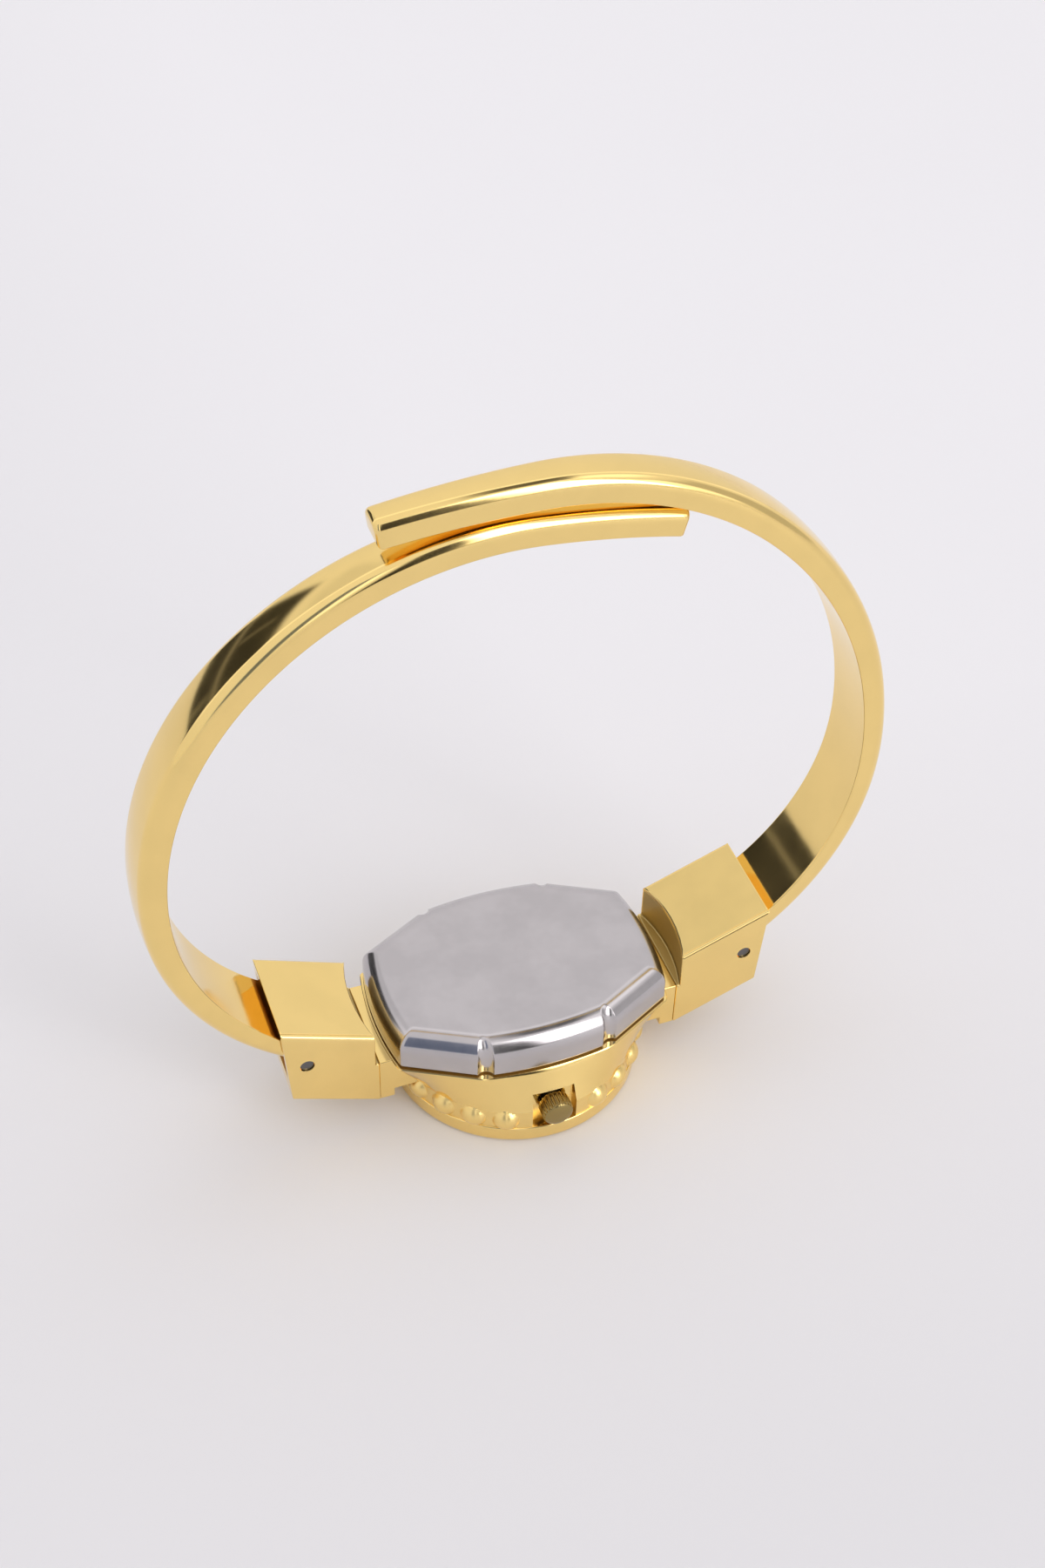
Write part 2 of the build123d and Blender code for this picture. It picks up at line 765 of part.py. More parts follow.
clamp_roof = battery_level + battery_thickness
with BuildPart() as battery_clamp:
    with BuildSketch(Plane.YZ.offset(clamp_x - clamp_width / 2)):
        with BuildLine():
            Polyline(
                (clamp_y, board_level + board_thickness),
                (clamp_y, clamp_roof + clamp_thickness),
                (battery_y + battery_radius / 2, clamp_roof + clamp_thickness),
                (battery_y + battery_radius / 2, clamp_roof),
                (clamp_y + clamp_thickness, clamp_roof),
                (clamp_y + clamp_thickness, board_level + board_thickness), close=True,
            )
        make_face()
    extrude(amount=clamp_width)
save(battery_clamp.part, "battery_clamp")

# Holder that fills the space between the movement and the case
with BuildPart() as movement_holder:
    with BuildSketch(level(plate_floor)):
        add(back_outline(cavity_growth - holder_gap))
        Circle(dial_bore_radius - holder_gap, mode=Mode.INTERSECT)
        add(movement_outline(holder_gap), mode=Mode.SUBTRACT)
        with Locations((battery_x, battery_y)):
            Circle(battery_radius + holder_gap, mode=Mode.SUBTRACT)
    extrude(amount=holder_height)
    with BuildSketch(across(-movement_half_width, 0, stem_level)):
        Rectangle(2 * lever_pivot_x, 2 * (plate_top - stem_level + lever_lift + lever_thickness + slip))
    extrude(amount=3 * overrun, mode=Mode.SUBTRACT)
save(movement_holder.part, "movement_holder")

# Crown, stem, tube and seal on the front side
with BuildPart() as crown_tube:
    with BuildSketch(across(tube_inner_y, 0, stem_level)):
        Circle(tube_radius)
        Circle(tube_bore, mode=Mode.SUBTRACT)
    extrude(amount=tube_inner_y - tube_outer_y)
save(crown_tube.part, "crown_tube")

with BuildPart() as crown:
    with BuildSketch(across(crown_inner_y, 0, stem_level)):
        Circle(crown_radius)
    extrude(amount=crown_length)
    chamfer(crown.edges().group_by(Axis.Y)[0], crown_edge)
    with BuildSketch(across(crown_inner_y + overrun, 0, stem_level)):
        with PolarLocations(crown_radius, crown_flutes):
            Circle(flute_radius)
    extrude(amount=crown_length + 2 * overrun, mode=Mode.SUBTRACT)
    with BuildSketch(across(crown_inner_y, 0, stem_level)):
        Circle(crown_bore_radius)
    extrude(amount=crown_bore_depth, mode=Mode.SUBTRACT)
save(crown.part, "crown")

with BuildPart() as crown_gasket:
    with BuildSketch(across(o_ring_y, 0, stem_level)):
        Circle(crown_bore_radius)
        Circle(tube_radius + slip, mode=Mode.SUBTRACT)
    extrude(amount=o_ring_width)
save(crown_gasket.part, "crown_gasket")

stem_outer_y = crown_inner_y - crown_bore_depth
with BuildPart() as stem:
    with BuildSketch(across(square_start_y, 0, stem_level)):
        Circle(stem_radius)
    extrude(amount=square_start_y - stem_outer_y)
    with BuildSketch(across(stem_inner_y, 0, stem_level)):
        Rectangle(stem_square, stem_square)
    extrude(amount=stem_inner_y - square_start_y)
    with BuildSketch(across(groove_centre_y + groove_width / 2, 0, stem_level)):
        Circle(stem_radius + overrun)
        Circle(groove_radius, mode=Mode.SUBTRACT)
    extrude(amount=groove_width, mode=Mode.SUBTRACT)
save(stem.part, "stem")

with BuildPart() as sliding_pinion:
    with BuildSketch(across(clutch_centre_y + clutch_length / 2, 0, stem_level)):
        Circle(clutch_radius)
        Rectangle(stem_square + 2 * slip, stem_square + 2 * slip, mode=Mode.SUBTRACT)
    extrude(amount=clutch_length)
save(sliding_pinion.part, "sliding_pinion")

# Setting lever, whose pin stands in the groove of the stem
with BuildPart() as setting_lever:
    with BuildSketch(level(plate_top + lever_lift, 0, groove_centre_y)):
        with Locations((lever_pivot_x / 2, 0)):
            SlotCenterToCenter(lever_pivot_x, lever_width)
        with Locations((lever_pivot_x, 0)):
            Circle(2 * lever_pivot_radius)
            Circle(lever_pivot_radius + slip, mode=Mode.SUBTRACT)
    extrude(amount=lever_thickness)
    with BuildSketch(level(plate_top + lever_lift, 0, groove_centre_y)):
        Circle(lever_pin_radius)
    extrude(amount=stem_level + groove_radius + slip - plate_top - lever_lift)
save(setting_lever.part, "setting_lever")


def band_section(width, edge):
    """Arm section: flat inner side with sharp corners, rounded and slightly crowned outer side."""
    half = width / 2
    inner = arm_thickness / 2
    shoulder = inner - arm_crown
    with BuildSketch() as sketch:
        with BuildLine():
            Polyline((-half, -shoulder + edge), (-half, inner), (half, inner), (half, -shoulder + edge))
            RadiusArc((half, -shoulder + edge), (half - edge, -shoulder), edge)
            ThreePointArc((half - edge, -shoulder), (0, -inner), (-half + edge, -shoulder))
            RadiusArc((-half + edge, -shoulder), (-half, -shoulder + edge), edge)
        make_face()
    return sketch.sketch


def make_block(side):
    """Hinge block on one side: a tilted prism with a slot for the arm and a seat for the case."""
    slope = math.tan(math.radians(block_tilt))
    inner_top = head_top - block_drop
    outer_x = block_seat_x + block_length
    low_x = outer_x - block_undercut
    outer_top = inner_top + block_length * slope
    inner_low = inner_top - block_height
    outer_low = inner_low + (low_x - block_seat_x) * slope
    roof_lift = slot_roof_thickness / math.cos(math.radians(block_tilt))
    slot_floor = pin_z - slot_floor_below_pin
    slot_end = outer_x + overrun
    roof_inner = inner_top + (slot_inner_x - block_seat_x) * slope - roof_lift
    roof_outer = inner_top + (slot_end - block_seat_x) * slope - roof_lift
    with BuildPart() as block:
        with BuildSketch(Plane.XZ):
            with BuildLine():
                Polyline(
                    (side * block_seat_x, inner_top), (side * outer_x, outer_top),
                    (side * low_x, outer_low), (side * block_seat_x, inner_low), close=True,
                )
            make_face()
        extrude(amount=block_half_width, both=True)
        rims = block.edges().filter_by(Axis.Y, reverse=True).filter_by(Axis.Z, reverse=True)
        fillet(rims.group_by(Axis.Z)[-1], block_edge)
        with BuildSketch(level(ledge)):
            Circle(block_end_radius)
        extrude(amount=block_height, mode=Mode.SUBTRACT)
        with BuildSketch(Plane.XZ):
            with BuildLine():
                Polyline(
                    (side * slot_inner_x, slot_floor), (side * slot_end, slot_floor),
                    (side * slot_end, roof_outer), (side * slot_inner_x, roof_inner), close=True,
                )
            make_face()
        extrude(amount=slot_half_width, both=True, mode=Mode.SUBTRACT)
        with BuildSketch(across(block_half_width, side * pin_x, pin_z)):
            Circle(pin_radius)
        extrude(amount=2 * block_half_width, mode=Mode.SUBTRACT)
    return block.part


def make_pin(side):
    """Hinge pin with a dished end, as long as the block is wide."""
    with BuildPart() as pin:
        with BuildSketch(across(block_half_width, side * pin_x, pin_z)):
            Circle(pin_radius)
        extrude(amount=2 * block_half_width - pin_dish)
    return pin.part


def make_spring(side):
    """Leaf spring on the slot's floor, under the arm's knuckle."""
    floor = pin_z - slot_floor_below_pin
    reach = pin_x - slot_inner_x
    with BuildPart() as spring:
        with BuildSketch(Plane.XZ):
            with BuildLine():
                Polyline(
                    (side * slot_inner_x, floor), (side * (slot_inner_x + reach), floor),
                    (side * (slot_inner_x + reach), floor + spring_thickness),
                    (side * (slot_inner_x + spring_thickness), floor + spring_thickness),
                    (side * (slot_inner_x + spring_thickness), pin_z - knuckle_radius / 2),
                    (side * slot_inner_x, pin_z - knuckle_radius / 2), close=True,
                )
            make_face()
        extrude(amount=spring_half_width, both=True)
    return spring.part


def make_arm(side, radii, turns):
    """Arm on one side: knuckle with a bore for the pin, then the tapering band."""
    rise = math.radians(arm_rise)
    root = (side * pin_x, pin_z)
    neck = (side * (pin_x + arm_neck_length * math.cos(rise)), pin_z + arm_neck_length * math.sin(rise))
    with BuildLine(Plane.XZ) as path:
        run = Line(root, neck)
        for radius, turn in zip(radii, turns):
            run = JernArc(run @ 1, run % 1, radius, side * turn)
    spine = path.wires()[0]
    start = Plane(origin=spine @ 0, x_dir=(0, 1, 0), z_dir=spine % 0)
    finish = Plane(origin=spine @ 1, x_dir=(0, 1, 0), z_dir=spine % 1)
    turned = 0 if side > 0 else 180
    root_face = start * band_section(arm_root_width, arm_root_edge).rotate(Axis.Z, turned)
    tip_face = finish * band_section(arm_tip_width, arm_tip_edge).rotate(Axis.Z, turned)
    with BuildPart() as arm:
        sweep(sections=[root_face, tip_face], path=path.line, multisection=True)
        with BuildSketch(across(arm_root_width / 2, side * pin_x, pin_z)):
            Circle(knuckle_radius)
        extrude(amount=arm_root_width)
        with BuildSketch(across(block_half_width, side * pin_x, pin_z)):
            Circle(pin_radius + slip)
        extrude(amount=2 * block_half_width, mode=Mode.SUBTRACT)
    return arm.part


for side, hand, radii, turns in ((-1, "left", left_radii, left_turns), (1, "right", right_radii, right_turns)):
    save(make_block(side), hand + "_hinge_block")
    save(make_pin(side), hand + "_hinge_pin")
    save(make_spring(side), hand + "_hinge_spring")
    save(make_arm(side, radii, turns), hand + "_arm")
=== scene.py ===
"""Bangle watch lying dial down: smooth surfaces, metal finishes and a plain studio.

Lengths are in millimetres in the formulas and in metres in the sizes and in the scene.
"""
import math
from types import SimpleNamespace

import bmesh
import bpy
import numpy as np
from bpy.props import FloatProperty, FloatVectorProperty, IntProperty, PointerProperty
from mathutils import Matrix, Vector
from mathutils.geometry import tessellate_polygon


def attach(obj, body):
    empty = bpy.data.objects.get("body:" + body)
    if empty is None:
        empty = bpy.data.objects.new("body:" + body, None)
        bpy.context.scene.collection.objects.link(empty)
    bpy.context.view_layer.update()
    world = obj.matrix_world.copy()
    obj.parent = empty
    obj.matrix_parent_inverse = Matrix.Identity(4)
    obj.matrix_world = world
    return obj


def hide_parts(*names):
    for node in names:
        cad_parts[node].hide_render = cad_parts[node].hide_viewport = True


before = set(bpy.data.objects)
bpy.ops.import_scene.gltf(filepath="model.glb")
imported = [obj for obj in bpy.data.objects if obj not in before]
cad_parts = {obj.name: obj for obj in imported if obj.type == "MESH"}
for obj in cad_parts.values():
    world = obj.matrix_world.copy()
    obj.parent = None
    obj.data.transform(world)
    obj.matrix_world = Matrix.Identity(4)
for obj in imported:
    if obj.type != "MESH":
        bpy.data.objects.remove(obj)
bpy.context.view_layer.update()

bl_info = {
    "name": "Bangle Watch",
    "version": (1, 0, 0),
    "blender": (4, 5, 0),
    "location": "View3D > Sidebar > Watch",
    "description": "Builds a gold bangle watch with a steel back on a pale table",
    "category": "Object",
}

MM = 0.001
HEAD = "head"
SIDES = {"left": -1.0, "right": 1.0}


def size(name, description, value):
    """A length property whose default is written in millimetres."""
    return FloatProperty(name=name, description=description, default=value * MM, unit="LENGTH",
                         precision=5)


def slant(name, description, value):
    """An angle property whose default is written in degrees."""
    return FloatProperty(name=name, description=description, default=math.radians(value),
                         subtype="ANGLE")


def tint(name, description, value):
    """A colour property with a linear default."""
    return FloatVectorProperty(name=name, description=description, subtype="COLOR", size=3,
                               min=0.0, max=1.0, default=value)


def share(name, description, value):
    """A factor property from nought to one."""
    return FloatProperty(name=name, description=description, default=value, min=0.0, max=1.0,
                         subtype="FACTOR")


def measures(group):
    """The group's values, with its lengths in millimetres."""
    values = {name: getattr(group, name) for name in group.__annotations__}
    for name in values:
        if group.bl_rna.properties[name].unit == "LENGTH":
            values[name] /= MM
    return SimpleNamespace(**values)


class WatchArmSizes(bpy.types.PropertyGroup):
    """Sizes of the two bangle arms."""
    pin_x: size("Pin distance", "Distance of each hinge pin from the middle", 18.95)
    pin_z: size("Pin height", "Height of the hinge pins above the table", 9.3)
    neck: size("Neck length", "Straight start of the arm from the pin", 1.9)
    rise: slant("Rise", "Angle at which an arm leaves its pin", 36.7)
    thickness: size("Thickness", "Thickness of the band", 2.2)
    crown: slant("Crown", "Slope of the crowned outer face beside the shoulder", 7.0)
    root_width: size("Root width", "Width of the band at the pin", 6.8)
    tip_width: size("Tip width", "Width of the band at its tip", 2.8)
    root_edge: size("Root shoulder", "Shoulder radius at the pin", 1.0)
    tip_edge: size("Tip shoulder", "Shoulder radius at the tip", 0.92)
    inner_edge: size("Inner corner", "Radius of the inner corners", 0.13)
    knuckle: size("Knuckle radius", "Radius of the barrel round the pin", 1.45)
    bore: size("Bore radius", "Radius of the hole for the pin", 0.58)


class WatchHeadSizes(bpy.types.PropertyGroup):
    """Sizes of the case, the steel back, the bezel and the crown."""
    bezel_top: size("Bezel height", "Height of the bezel", 1.7)
    flank_top: size("Bead height", "Height at which the beads end", 3.6)
    ledge: size("Ledge height", "Height at which the steel back begins", 7.25)
    top: size("Head height", "Height of the steel back's top", 10.7)
    skirt_radius: size("Skirt radius", "Radius of the case under the skirt", 10.5)
    bead_radius: size("Bead radius", "Radius of one bead", 1.25)
    bead_pitch: size("Bead pitch radius", "Radius of the ring of beads", 9.85)
    beads: IntProperty(name="Beads", description="Number of beads round the case", default=24, min=3)
    back_edge: size("Back edge radius", "Rounding of the steel back's top edge", 1.7)
    back_x: size("Back corner X", "Distance of the back's corners along the bangle", 11.5)
    back_y: size("Back corner Y", "Distance of the back's corners across the bangle", 5.3)
    end_bow: size("End bow", "Bulge of the back's two ends", 0.6)
    notch_x: size("Notch X", "Distance of the scallops along the bangle", 5.45)
    notch_y: size("Notch Y", "Distance of the back's side points across the bangle", 8.45)
    side_bow: size("Side bow", "Bulge of the back's two long sides", 0.5)
    notch_radius: size("Notch radius", "Radius of the four scallops", 0.8)
    notch_offset: size("Notch offset", "Distance of a scallop's axis outside the side point", 0.35)
    ledge_margin: size("Ledge margin", "How far the ledge stands out past the steel back", 0.25)
    lug_root: size("Lug root", "Distance at which a lug starts inside the case", 9.6)
    lug_step: size("Lug step", "Distance at which a lug clears the beads", 11.75)
    lug_half_width: size("Lug half width", "Half the width of a lug", 4.3)
    recess_y: size("Crown recess", "Distance of the flat behind the crown", 9.6)
    recess_half: size("Recess half width", "Half the width of the flat behind the crown", 1.75)
    recess_top: size("Recess top", "Height of the flat behind the crown", 5.2)
    crown_radius: size("Crown radius", "Radius of the crown", 1.3)
    crown_z: size("Crown height", "Height of the crown's axis", 3.7)
    flutes: IntProperty(name="Flutes", description="Number of grooves round the crown", default=24, min=3)


class WatchBlockSizes(bpy.types.PropertyGroup):
    """Sizes of the two hinge blocks; distances run from the middle along the bangle."""
    slope: slant("Slope", "Slope of the top and the foot", 22.0)
    seat: size("Seat", "Distance of the face against the lug", 13.0)
    head_end: size("Top end", "Distance of the top's outer edge", 20.9)
    foot_end: size("Foot end", "Distance of the foot's outer edge", 20.3)
    low: size("Foot height", "Height of the foot at the seat", 2.75)
    high: size("Top height", "Height that the top would have at the seat", 10.45)
    half_width: size("Half width", "Half the width of a block", 4.4)
    hollow: size("Hollow radius", "Radius of the hollow inner end", 14.0)
    slot_half_width: size("Slot half width", "Half the width of the arm's slot", 3.6)
    slot_floor: size("Slot floor", "Height of the slot's floor", 7.45)
    slot_end: size("Slot end", "Distance of the slot's closed end", 17.2)
    slot_cover: size("Slot cover", "Thickness of the metal over the slot", 1.15)
    pin_seat: size("Pin seat radius", "Radius of the seat round a pin's end", 0.6)
    pin_depth: size("Pin seat depth", "Depth of the seat round a pin's end", 0.5)
    edge: size("Edge", "Width of the bevel along the top edges", 0.4)


class WatchFinish(bpy.types.PropertyGroup):
    """Colours and polish of the watch."""
    gold: tint("Gold", "Colour of the gold plate", (0.97, 0.715, 0.275))
    gold_roughness: share("Gold roughness", "Blur of reflections in the gold", 0.09)
    steel: tint("Steel", "Colour of the polished back", (0.57, 0.54, 0.54))
    steel_roughness: share("Steel roughness", "Blur of reflections in the steel", 0.12)
    dial: tint("Dial", "Colour of the dial", (0.85, 0.80, 0.68))
    floor: tint("Table", "Colour of the table", (0.84, 0.83, 0.845))


def grid_faces(rows, columns, looped):
    """Quads that join each row of points to the next; in a loop the last row joins the first."""
    i, j = np.divmod(np.arange((rows if looped else rows - 1) * columns), columns)
    k, m = (i + 1) % rows, (j + 1) % columns
    return np.stack([i * columns + j, i * columns + m, k * columns + m, k * columns + j], axis=1)


def enclosed(points, faces, caps):
    """Six times the signed volume: the sum of the corner triple products of each face's fan."""
    corners = points[faces]
    total = sum((corners[:, 0] * np.cross(corners[:, i], corners[:, i + 1])).sum() for i in (1, 2))
    for cap in caps:
        total += (np.cross(points[cap[1:-1]], points[cap[2:]]) @ points[cap[0]]).sum()
    return total


def surface_object(name, rows, looped=False, smooth_angle=32.0):
    """Mesh object from rows of points in millimetres: a loop of rows, or a tube with flat ends."""
    rows = np.asarray(rows, float)
    count, columns = rows.shape[:2]
    points = rows.reshape(-1, 3)
    faces, caps = grid_faces(count, columns, looped), []
    if not looped:
        caps = [np.arange(columns)[::-1], (count - 1) * columns + np.arange(columns)]
    if enclosed(points, faces, caps) < 0.0:
        faces = faces[:, ::-1]
        caps = [cap[::-1] for cap in caps]
    mesh = bpy.data.meshes.new(name)
    mesh.from_pydata((points * MM).tolist(), [], faces.tolist() + [cap.tolist() for cap in caps])
    mesh.validate()
    mesh.polygons.foreach_set("use_smooth", np.ones(len(mesh.polygons), dtype=bool))
    mesh.set_sharp_from_angle(angle=math.radians(smooth_angle))
    thing = bpy.data.objects.new(name, mesh)
    bpy.context.scene.collection.objects.link(thing)
    return thing


def rework(thing, change, *values):
    """Opens a piece's mesh for one change and then finds its sharp edges again."""
    work = bmesh.new()
    work.from_mesh(thing.data)
    change(work, *values)
    work.to_mesh(thing.data)
    work.free()
    thing.data.set_sharp_from_angle(angle=math.radians(32.0))


def soften(thing, width, segments, limit):
    """Rounds the sharp or the weighted edges with a small bevel, width in millimetres."""
    bevel = thing.modifiers.new("edges", "BEVEL")
    bevel.width = width * MM
    bevel.segments = segments
    bevel.limit_method = limit
    bevel.angle_limit = math.radians(35.0)
    thing.modifiers.new("shading", "WEIGHTED_NORMAL").keep_sharp = True


def dress(thing, finish):
    """Gives a piece its one finish."""
    thing.data.materials.clear()
    thing.data.materials.append(finishes[finish])


def place(thing, finish, body, node, slot="gold_plate"):
    """Dresses a piece and lets it ride on its body in place of the named solid."""
    dress(thing, finish)
    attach(thing, body)
    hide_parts(node)


def ring(profile, count, centre=(0.0, 0.0, 0.0), axis="Z"):
    """Surface of revolution: each profile point (radius, height) carried round the axis by its angle."""
    profile = np.asarray(profile, float)
    turn = np.linspace(0.0, 2.0 * np.pi, count, endpoint=False)
    radius, height = profile[:, :1], profile[:, 1:]
    flat = np.broadcast_to(height, (len(profile), count))
    first, second = radius * np.cos(turn), radius * np.sin(turn)
    order = {"Z": (first, second, flat), "Y": (first, flat, second)}[axis]
    return np.stack(order, axis=-1) + np.asarray(centre)


def level_ring(reach, angle, height):
    """Points at one height, at a distance from the middle for each angle."""
    return np.stack([reach * np.cos(angle), reach * np.sin(angle), np.full_like(angle, height)], 1)


def quarter(cx, cy, radius, start, end, steps=6):
    """Points on an arc about (cx, cy) between two angles in degrees."""
    turn = np.radians(np.linspace(start, end, steps))
    return np.stack([cx + radius * np.cos(turn), cy + radius * np.sin(turn)], axis=1)


def toned(colour, factor):
    """The colour made darker or lighter by a factor."""
    return tuple(min(1.0, channel * factor) for channel in colour)


class Tree:
    """Node tree in the making; a value is a number, a colour or another node's output."""

    def __init__(self, tree, coordinates="Object"):
        self.nodes, self.links = tree.nodes, tree.links
        self.place = self.nodes.new("ShaderNodeTexCoord").outputs[coordinates]

    def connect(self, value, socket):
        """Sets a socket, or links it."""
        if isinstance(value, tuple):
            socket.default_value = (*value, 1.0)
        elif isinstance(value, (int, float)):
            socket.default_value = value
        else:
            self.links.new(value, socket)

    def maths(self, kind, *values):
        """Result of one sum."""
        step = self.nodes.new("ShaderNodeMath")
        step.operation = kind
        for socket, value in zip(step.inputs, values):
            self.connect(value, socket)
        return step.outputs[0]

    def product(self, first, *others):
        """Product of several factors."""
        for factor in others:
            first = self.maths("MULTIPLY", first, factor)
        return first

    def axes(self):
        """The three coordinates, each on its own."""
        split = self.nodes.new("ShaderNodeSeparateXYZ")
        self.links.new(self.place, split.inputs["Vector"])
        return [split.outputs[axis] for axis in "XYZ"]

    def distances(self):
        """The distances from the three middle planes."""
        return [self.maths("ABSOLUTE", axis) for axis in self.axes()]

    def noise(self, scale, detail=3.0, roughness=0.5, stretch=None, source=None):
        """Noise pattern, squeezed along each axis by the stretch; the scale counts per metre."""
        pattern = self.nodes.new("ShaderNodeTexNoise")
        for socket, value in (("Scale", scale), ("Detail", detail), ("Roughness", roughness)):
            pattern.inputs[socket].default_value = value
        source = source or self.place
        if stretch:
            mapping = self.nodes.new("ShaderNodeMapping")
            mapping.inputs["Scale"].default_value = stretch
            self.links.new(source, mapping.inputs["Vector"])
            source = mapping.outputs["Vector"]
        self.links.new(source, pattern.inputs["Vector"])
        return pattern.outputs["Fac"]

    def spread(self, source, low, high, new_low, new_high, curve="LINEAR"):
        """Maps a range of the pattern to a new range, clamped."""
        remap = self.nodes.new("ShaderNodeMapRange")
        remap.interpolation_type = curve
        limits = {"From Min": low, "From Max": high, "To Min": new_low, "To Max": new_high}
        for socket, value in limits.items():
            remap.inputs[socket].default_value = value
        self.links.new(source, remap.inputs["Value"])
        return remap.outputs["Result"]

    def blend(self, factor, first, second):
        """Blend of two colours by a pattern."""
        ramp = self.nodes.new("ShaderNodeValToRGB")
        ramp.color_ramp.elements[0].color = (*first, 1.0)
        ramp.color_ramp.elements[1].color = (*second, 1.0)
        self.links.new(factor, ramp.inputs["Fac"])
        return ramp.outputs["Color"]


class Finish(Tree):
    """Material with a principled shader on object coordinates."""

    def __init__(self, name, metallic=0.0):
        self.material = bpy.data.materials.new(name)
        self.material.use_nodes = True
        super().__init__(self.material.node_tree)
        self.sockets = self.nodes["Principled BSDF"].inputs
        self.wire("Metallic", metallic)

    def wire(self, socket, value):
        """Sets or links a socket of the shader."""
        self.connect(value, self.sockets[socket])

    def wired(self, socket):
        """What is linked to a socket of the shader."""
        return self.sockets[socket].links[0].from_socket

    def grain(self, pattern, colour, dark, light, smooth, rough, low=0.3, high=0.7):
        """Lets one pattern run between two tones of a colour and two roughnesses."""
        self.wire("Base Color", self.blend(pattern, toned(colour, dark), toned(colour, light)))
        self.wire("Roughness", self.spread(pattern, low, high, smooth, rough))

    def relief(self, height, distance, strength=1.0):
        """Small relief from a pattern; the distance is in millimetres."""
        bump = self.nodes.new("ShaderNodeBump")
        bump.inputs["Distance"].default_value = distance * MM
        bump.inputs["Strength"].default_value = strength
        self.links.new(height, bump.inputs["Height"])
        self.wire("Normal", bump.outputs["Normal"])

    def roughen(self, least):
        """Keeps the roughness from going under a pattern."""
        self.wire("Roughness", self.maths("MAXIMUM", self.wired("Roughness"), least))

    def paint_shade(self, mask, colour, metallic):
        """Paints shade: a dull dark coat takes the polish's place where the mask is one."""
        mix = self.nodes.new("ShaderNodeMix")
        mix.data_type = "RGBA"
        for socket, value in ((0, mask), (6, self.wired("Base Color")), (7, colour)):
            self.connect(value, mix.inputs[socket])
        self.wire("Base Color", mix.outputs[2])
        self.wire("Metallic", self.spread(mask, 0.0, 1.0, 1.0, metallic))
        self.roughen(self.spread(mask, 0.0, 1.0, 0.0, 0.4))


def polished_metal(name, colour, roughness, haze=0.06, wear=0.35, stain=0.965):
    """Mirror-polished metal with handling haze, fine hairlines and faint waviness.

    Wear is how much the hairlines add to the haze, and stain is how dark the smudges are.
    """
    look = Finish(name, 1.0)
    smudge = look.noise(260.0, 4.0, 0.55)
    grain = look.noise(5200.0, 2.0, stretch=(1.0, 9.0, 1.0))
    mixed = look.maths("MULTIPLY_ADD", grain, wear, smudge)
    look.wire("Roughness", look.spread(mixed, 0.45, 0.95, roughness, roughness + haze))
    patchy = look.spread(smudge, 0.38, 0.62, 0.0, 1.0)
    look.wire("Base Color", look.blend(patchy, toned(colour, stain), colour))
    look.relief(look.noise(420.0, 1.0), 0.006, 0.6)
    return look


def case_gold(colour, roughness):
    """Polished plate that turns satin on the beads, so that they catch broad highlights."""
    look = polished_metal("case_gold_plate", colour, roughness)
    x, y, z = look.distances()
    look.roughen(look.spread(z, 3.6 * MM, 3.9 * MM, 0.3, 0.0))
    return look


def block_gold(colour, roughness, sizes):
    """Polished plate with painted shade: a dull dark brown coat in the arm's slot, and a darker hollow end
    beside the steel back.
    """
    look = polished_metal("hinge_block_gold_plate", colour, roughness)
    x, y, z = look.distances()
    slope = math.tan(sizes.slope)
    under = look.maths("SUBTRACT", look.maths("MULTIPLY", x, slope), z)
    top = sizes.seat * slope - sizes.high
    width, reach = sizes.half_width, sizes.hollow
    # Painted shade: the hollow inner end beside the steel back is darkened
    hollow = look.product(look.spread(x, reach + 0.02 * MM, reach + 0.1 * MM, 1.0, 0.0),
                          look.spread(y, width - 0.25 * MM, width - 0.08 * MM, 1.0, 0.0),
                          look.spread(under, top + 0.12 * MM, top + 0.45 * MM, 0.0, 1.0))
    look.paint_shade(hollow, toned(colour, 0.55), 1.0)
    # Painted shade: the arm's slot gets a dull dark brown coat
    side, floor, end = sizes.slot_half_width, sizes.slot_floor, sizes.slot_end
    slot = look.product(look.spread(x, end - 0.4 * MM, end - 0.1 * MM, 0.0, 1.0),
                        look.spread(y, side + 0.02 * MM, side + 0.06 * MM, 1.0, 0.0),
                        look.spread(under, top + MM, top + 1.1 * MM, 0.0, 1.0),
                        look.spread(z, floor - 0.05 * MM, floor - 0.01 * MM, 0.0, 1.0))
    look.paint_shade(slot, (0.42, 0.20, 0.05), 0.1)
    return look


def back_steel(colour, roughness, seam):
    """Polished steel with faint smudges, and painted shade at its foot: a dull dark brown coat beside the
    seam.
    """
    look = polished_metal("polished_steel_back", colour, roughness, 0.1, 0.5, 0.92)
    x, y, z = look.distances()
    # Painted shade along the seam between the steel back and the gold ledge
    look.paint_shade(look.spread(z, seam + 0.18 * MM, seam + 0.26 * MM, 1.0, 0.0), (0.16, 0.11, 0.06), 0.1)
    return look


def brushed_metal(name, colour, roughness):
    """Metal with fine parallel grain."""
    look = Finish(name, 1.0)
    grain = look.noise(900.0, 4.0, 0.6, stretch=(1.0, 30.0, 1.0))
    look.grain(grain, colour, 0.86, 1.04, roughness, roughness + 0.16)
    look.relief(grain, 0.004, 0.5)
    return look


def moulded(name, colour, roughness):
    """Plastic, lacquer or rubber with a fine moulded grain."""
    look = Finish(name)
    grain = look.noise(2600.0, 3.0, 0.6)
    look.grain(grain, colour, 0.9, 1.06, roughness, roughness + 0.12)
    look.relief(grain, 0.006, 0.5)
    return look


def clear_glass(name):
    """Clear crystal with a trace of dust on its surface."""
    look = Finish(name)
    look.wire("Transmission Weight", 1.0)
    look.wire("IOR", 1.5)
    look.wire("Base Color", (0.98, 0.99, 1.0))
    look.wire("Roughness", look.spread(look.noise(1800.0), 0.55, 0.75, 0.0, 0.05))
    return look


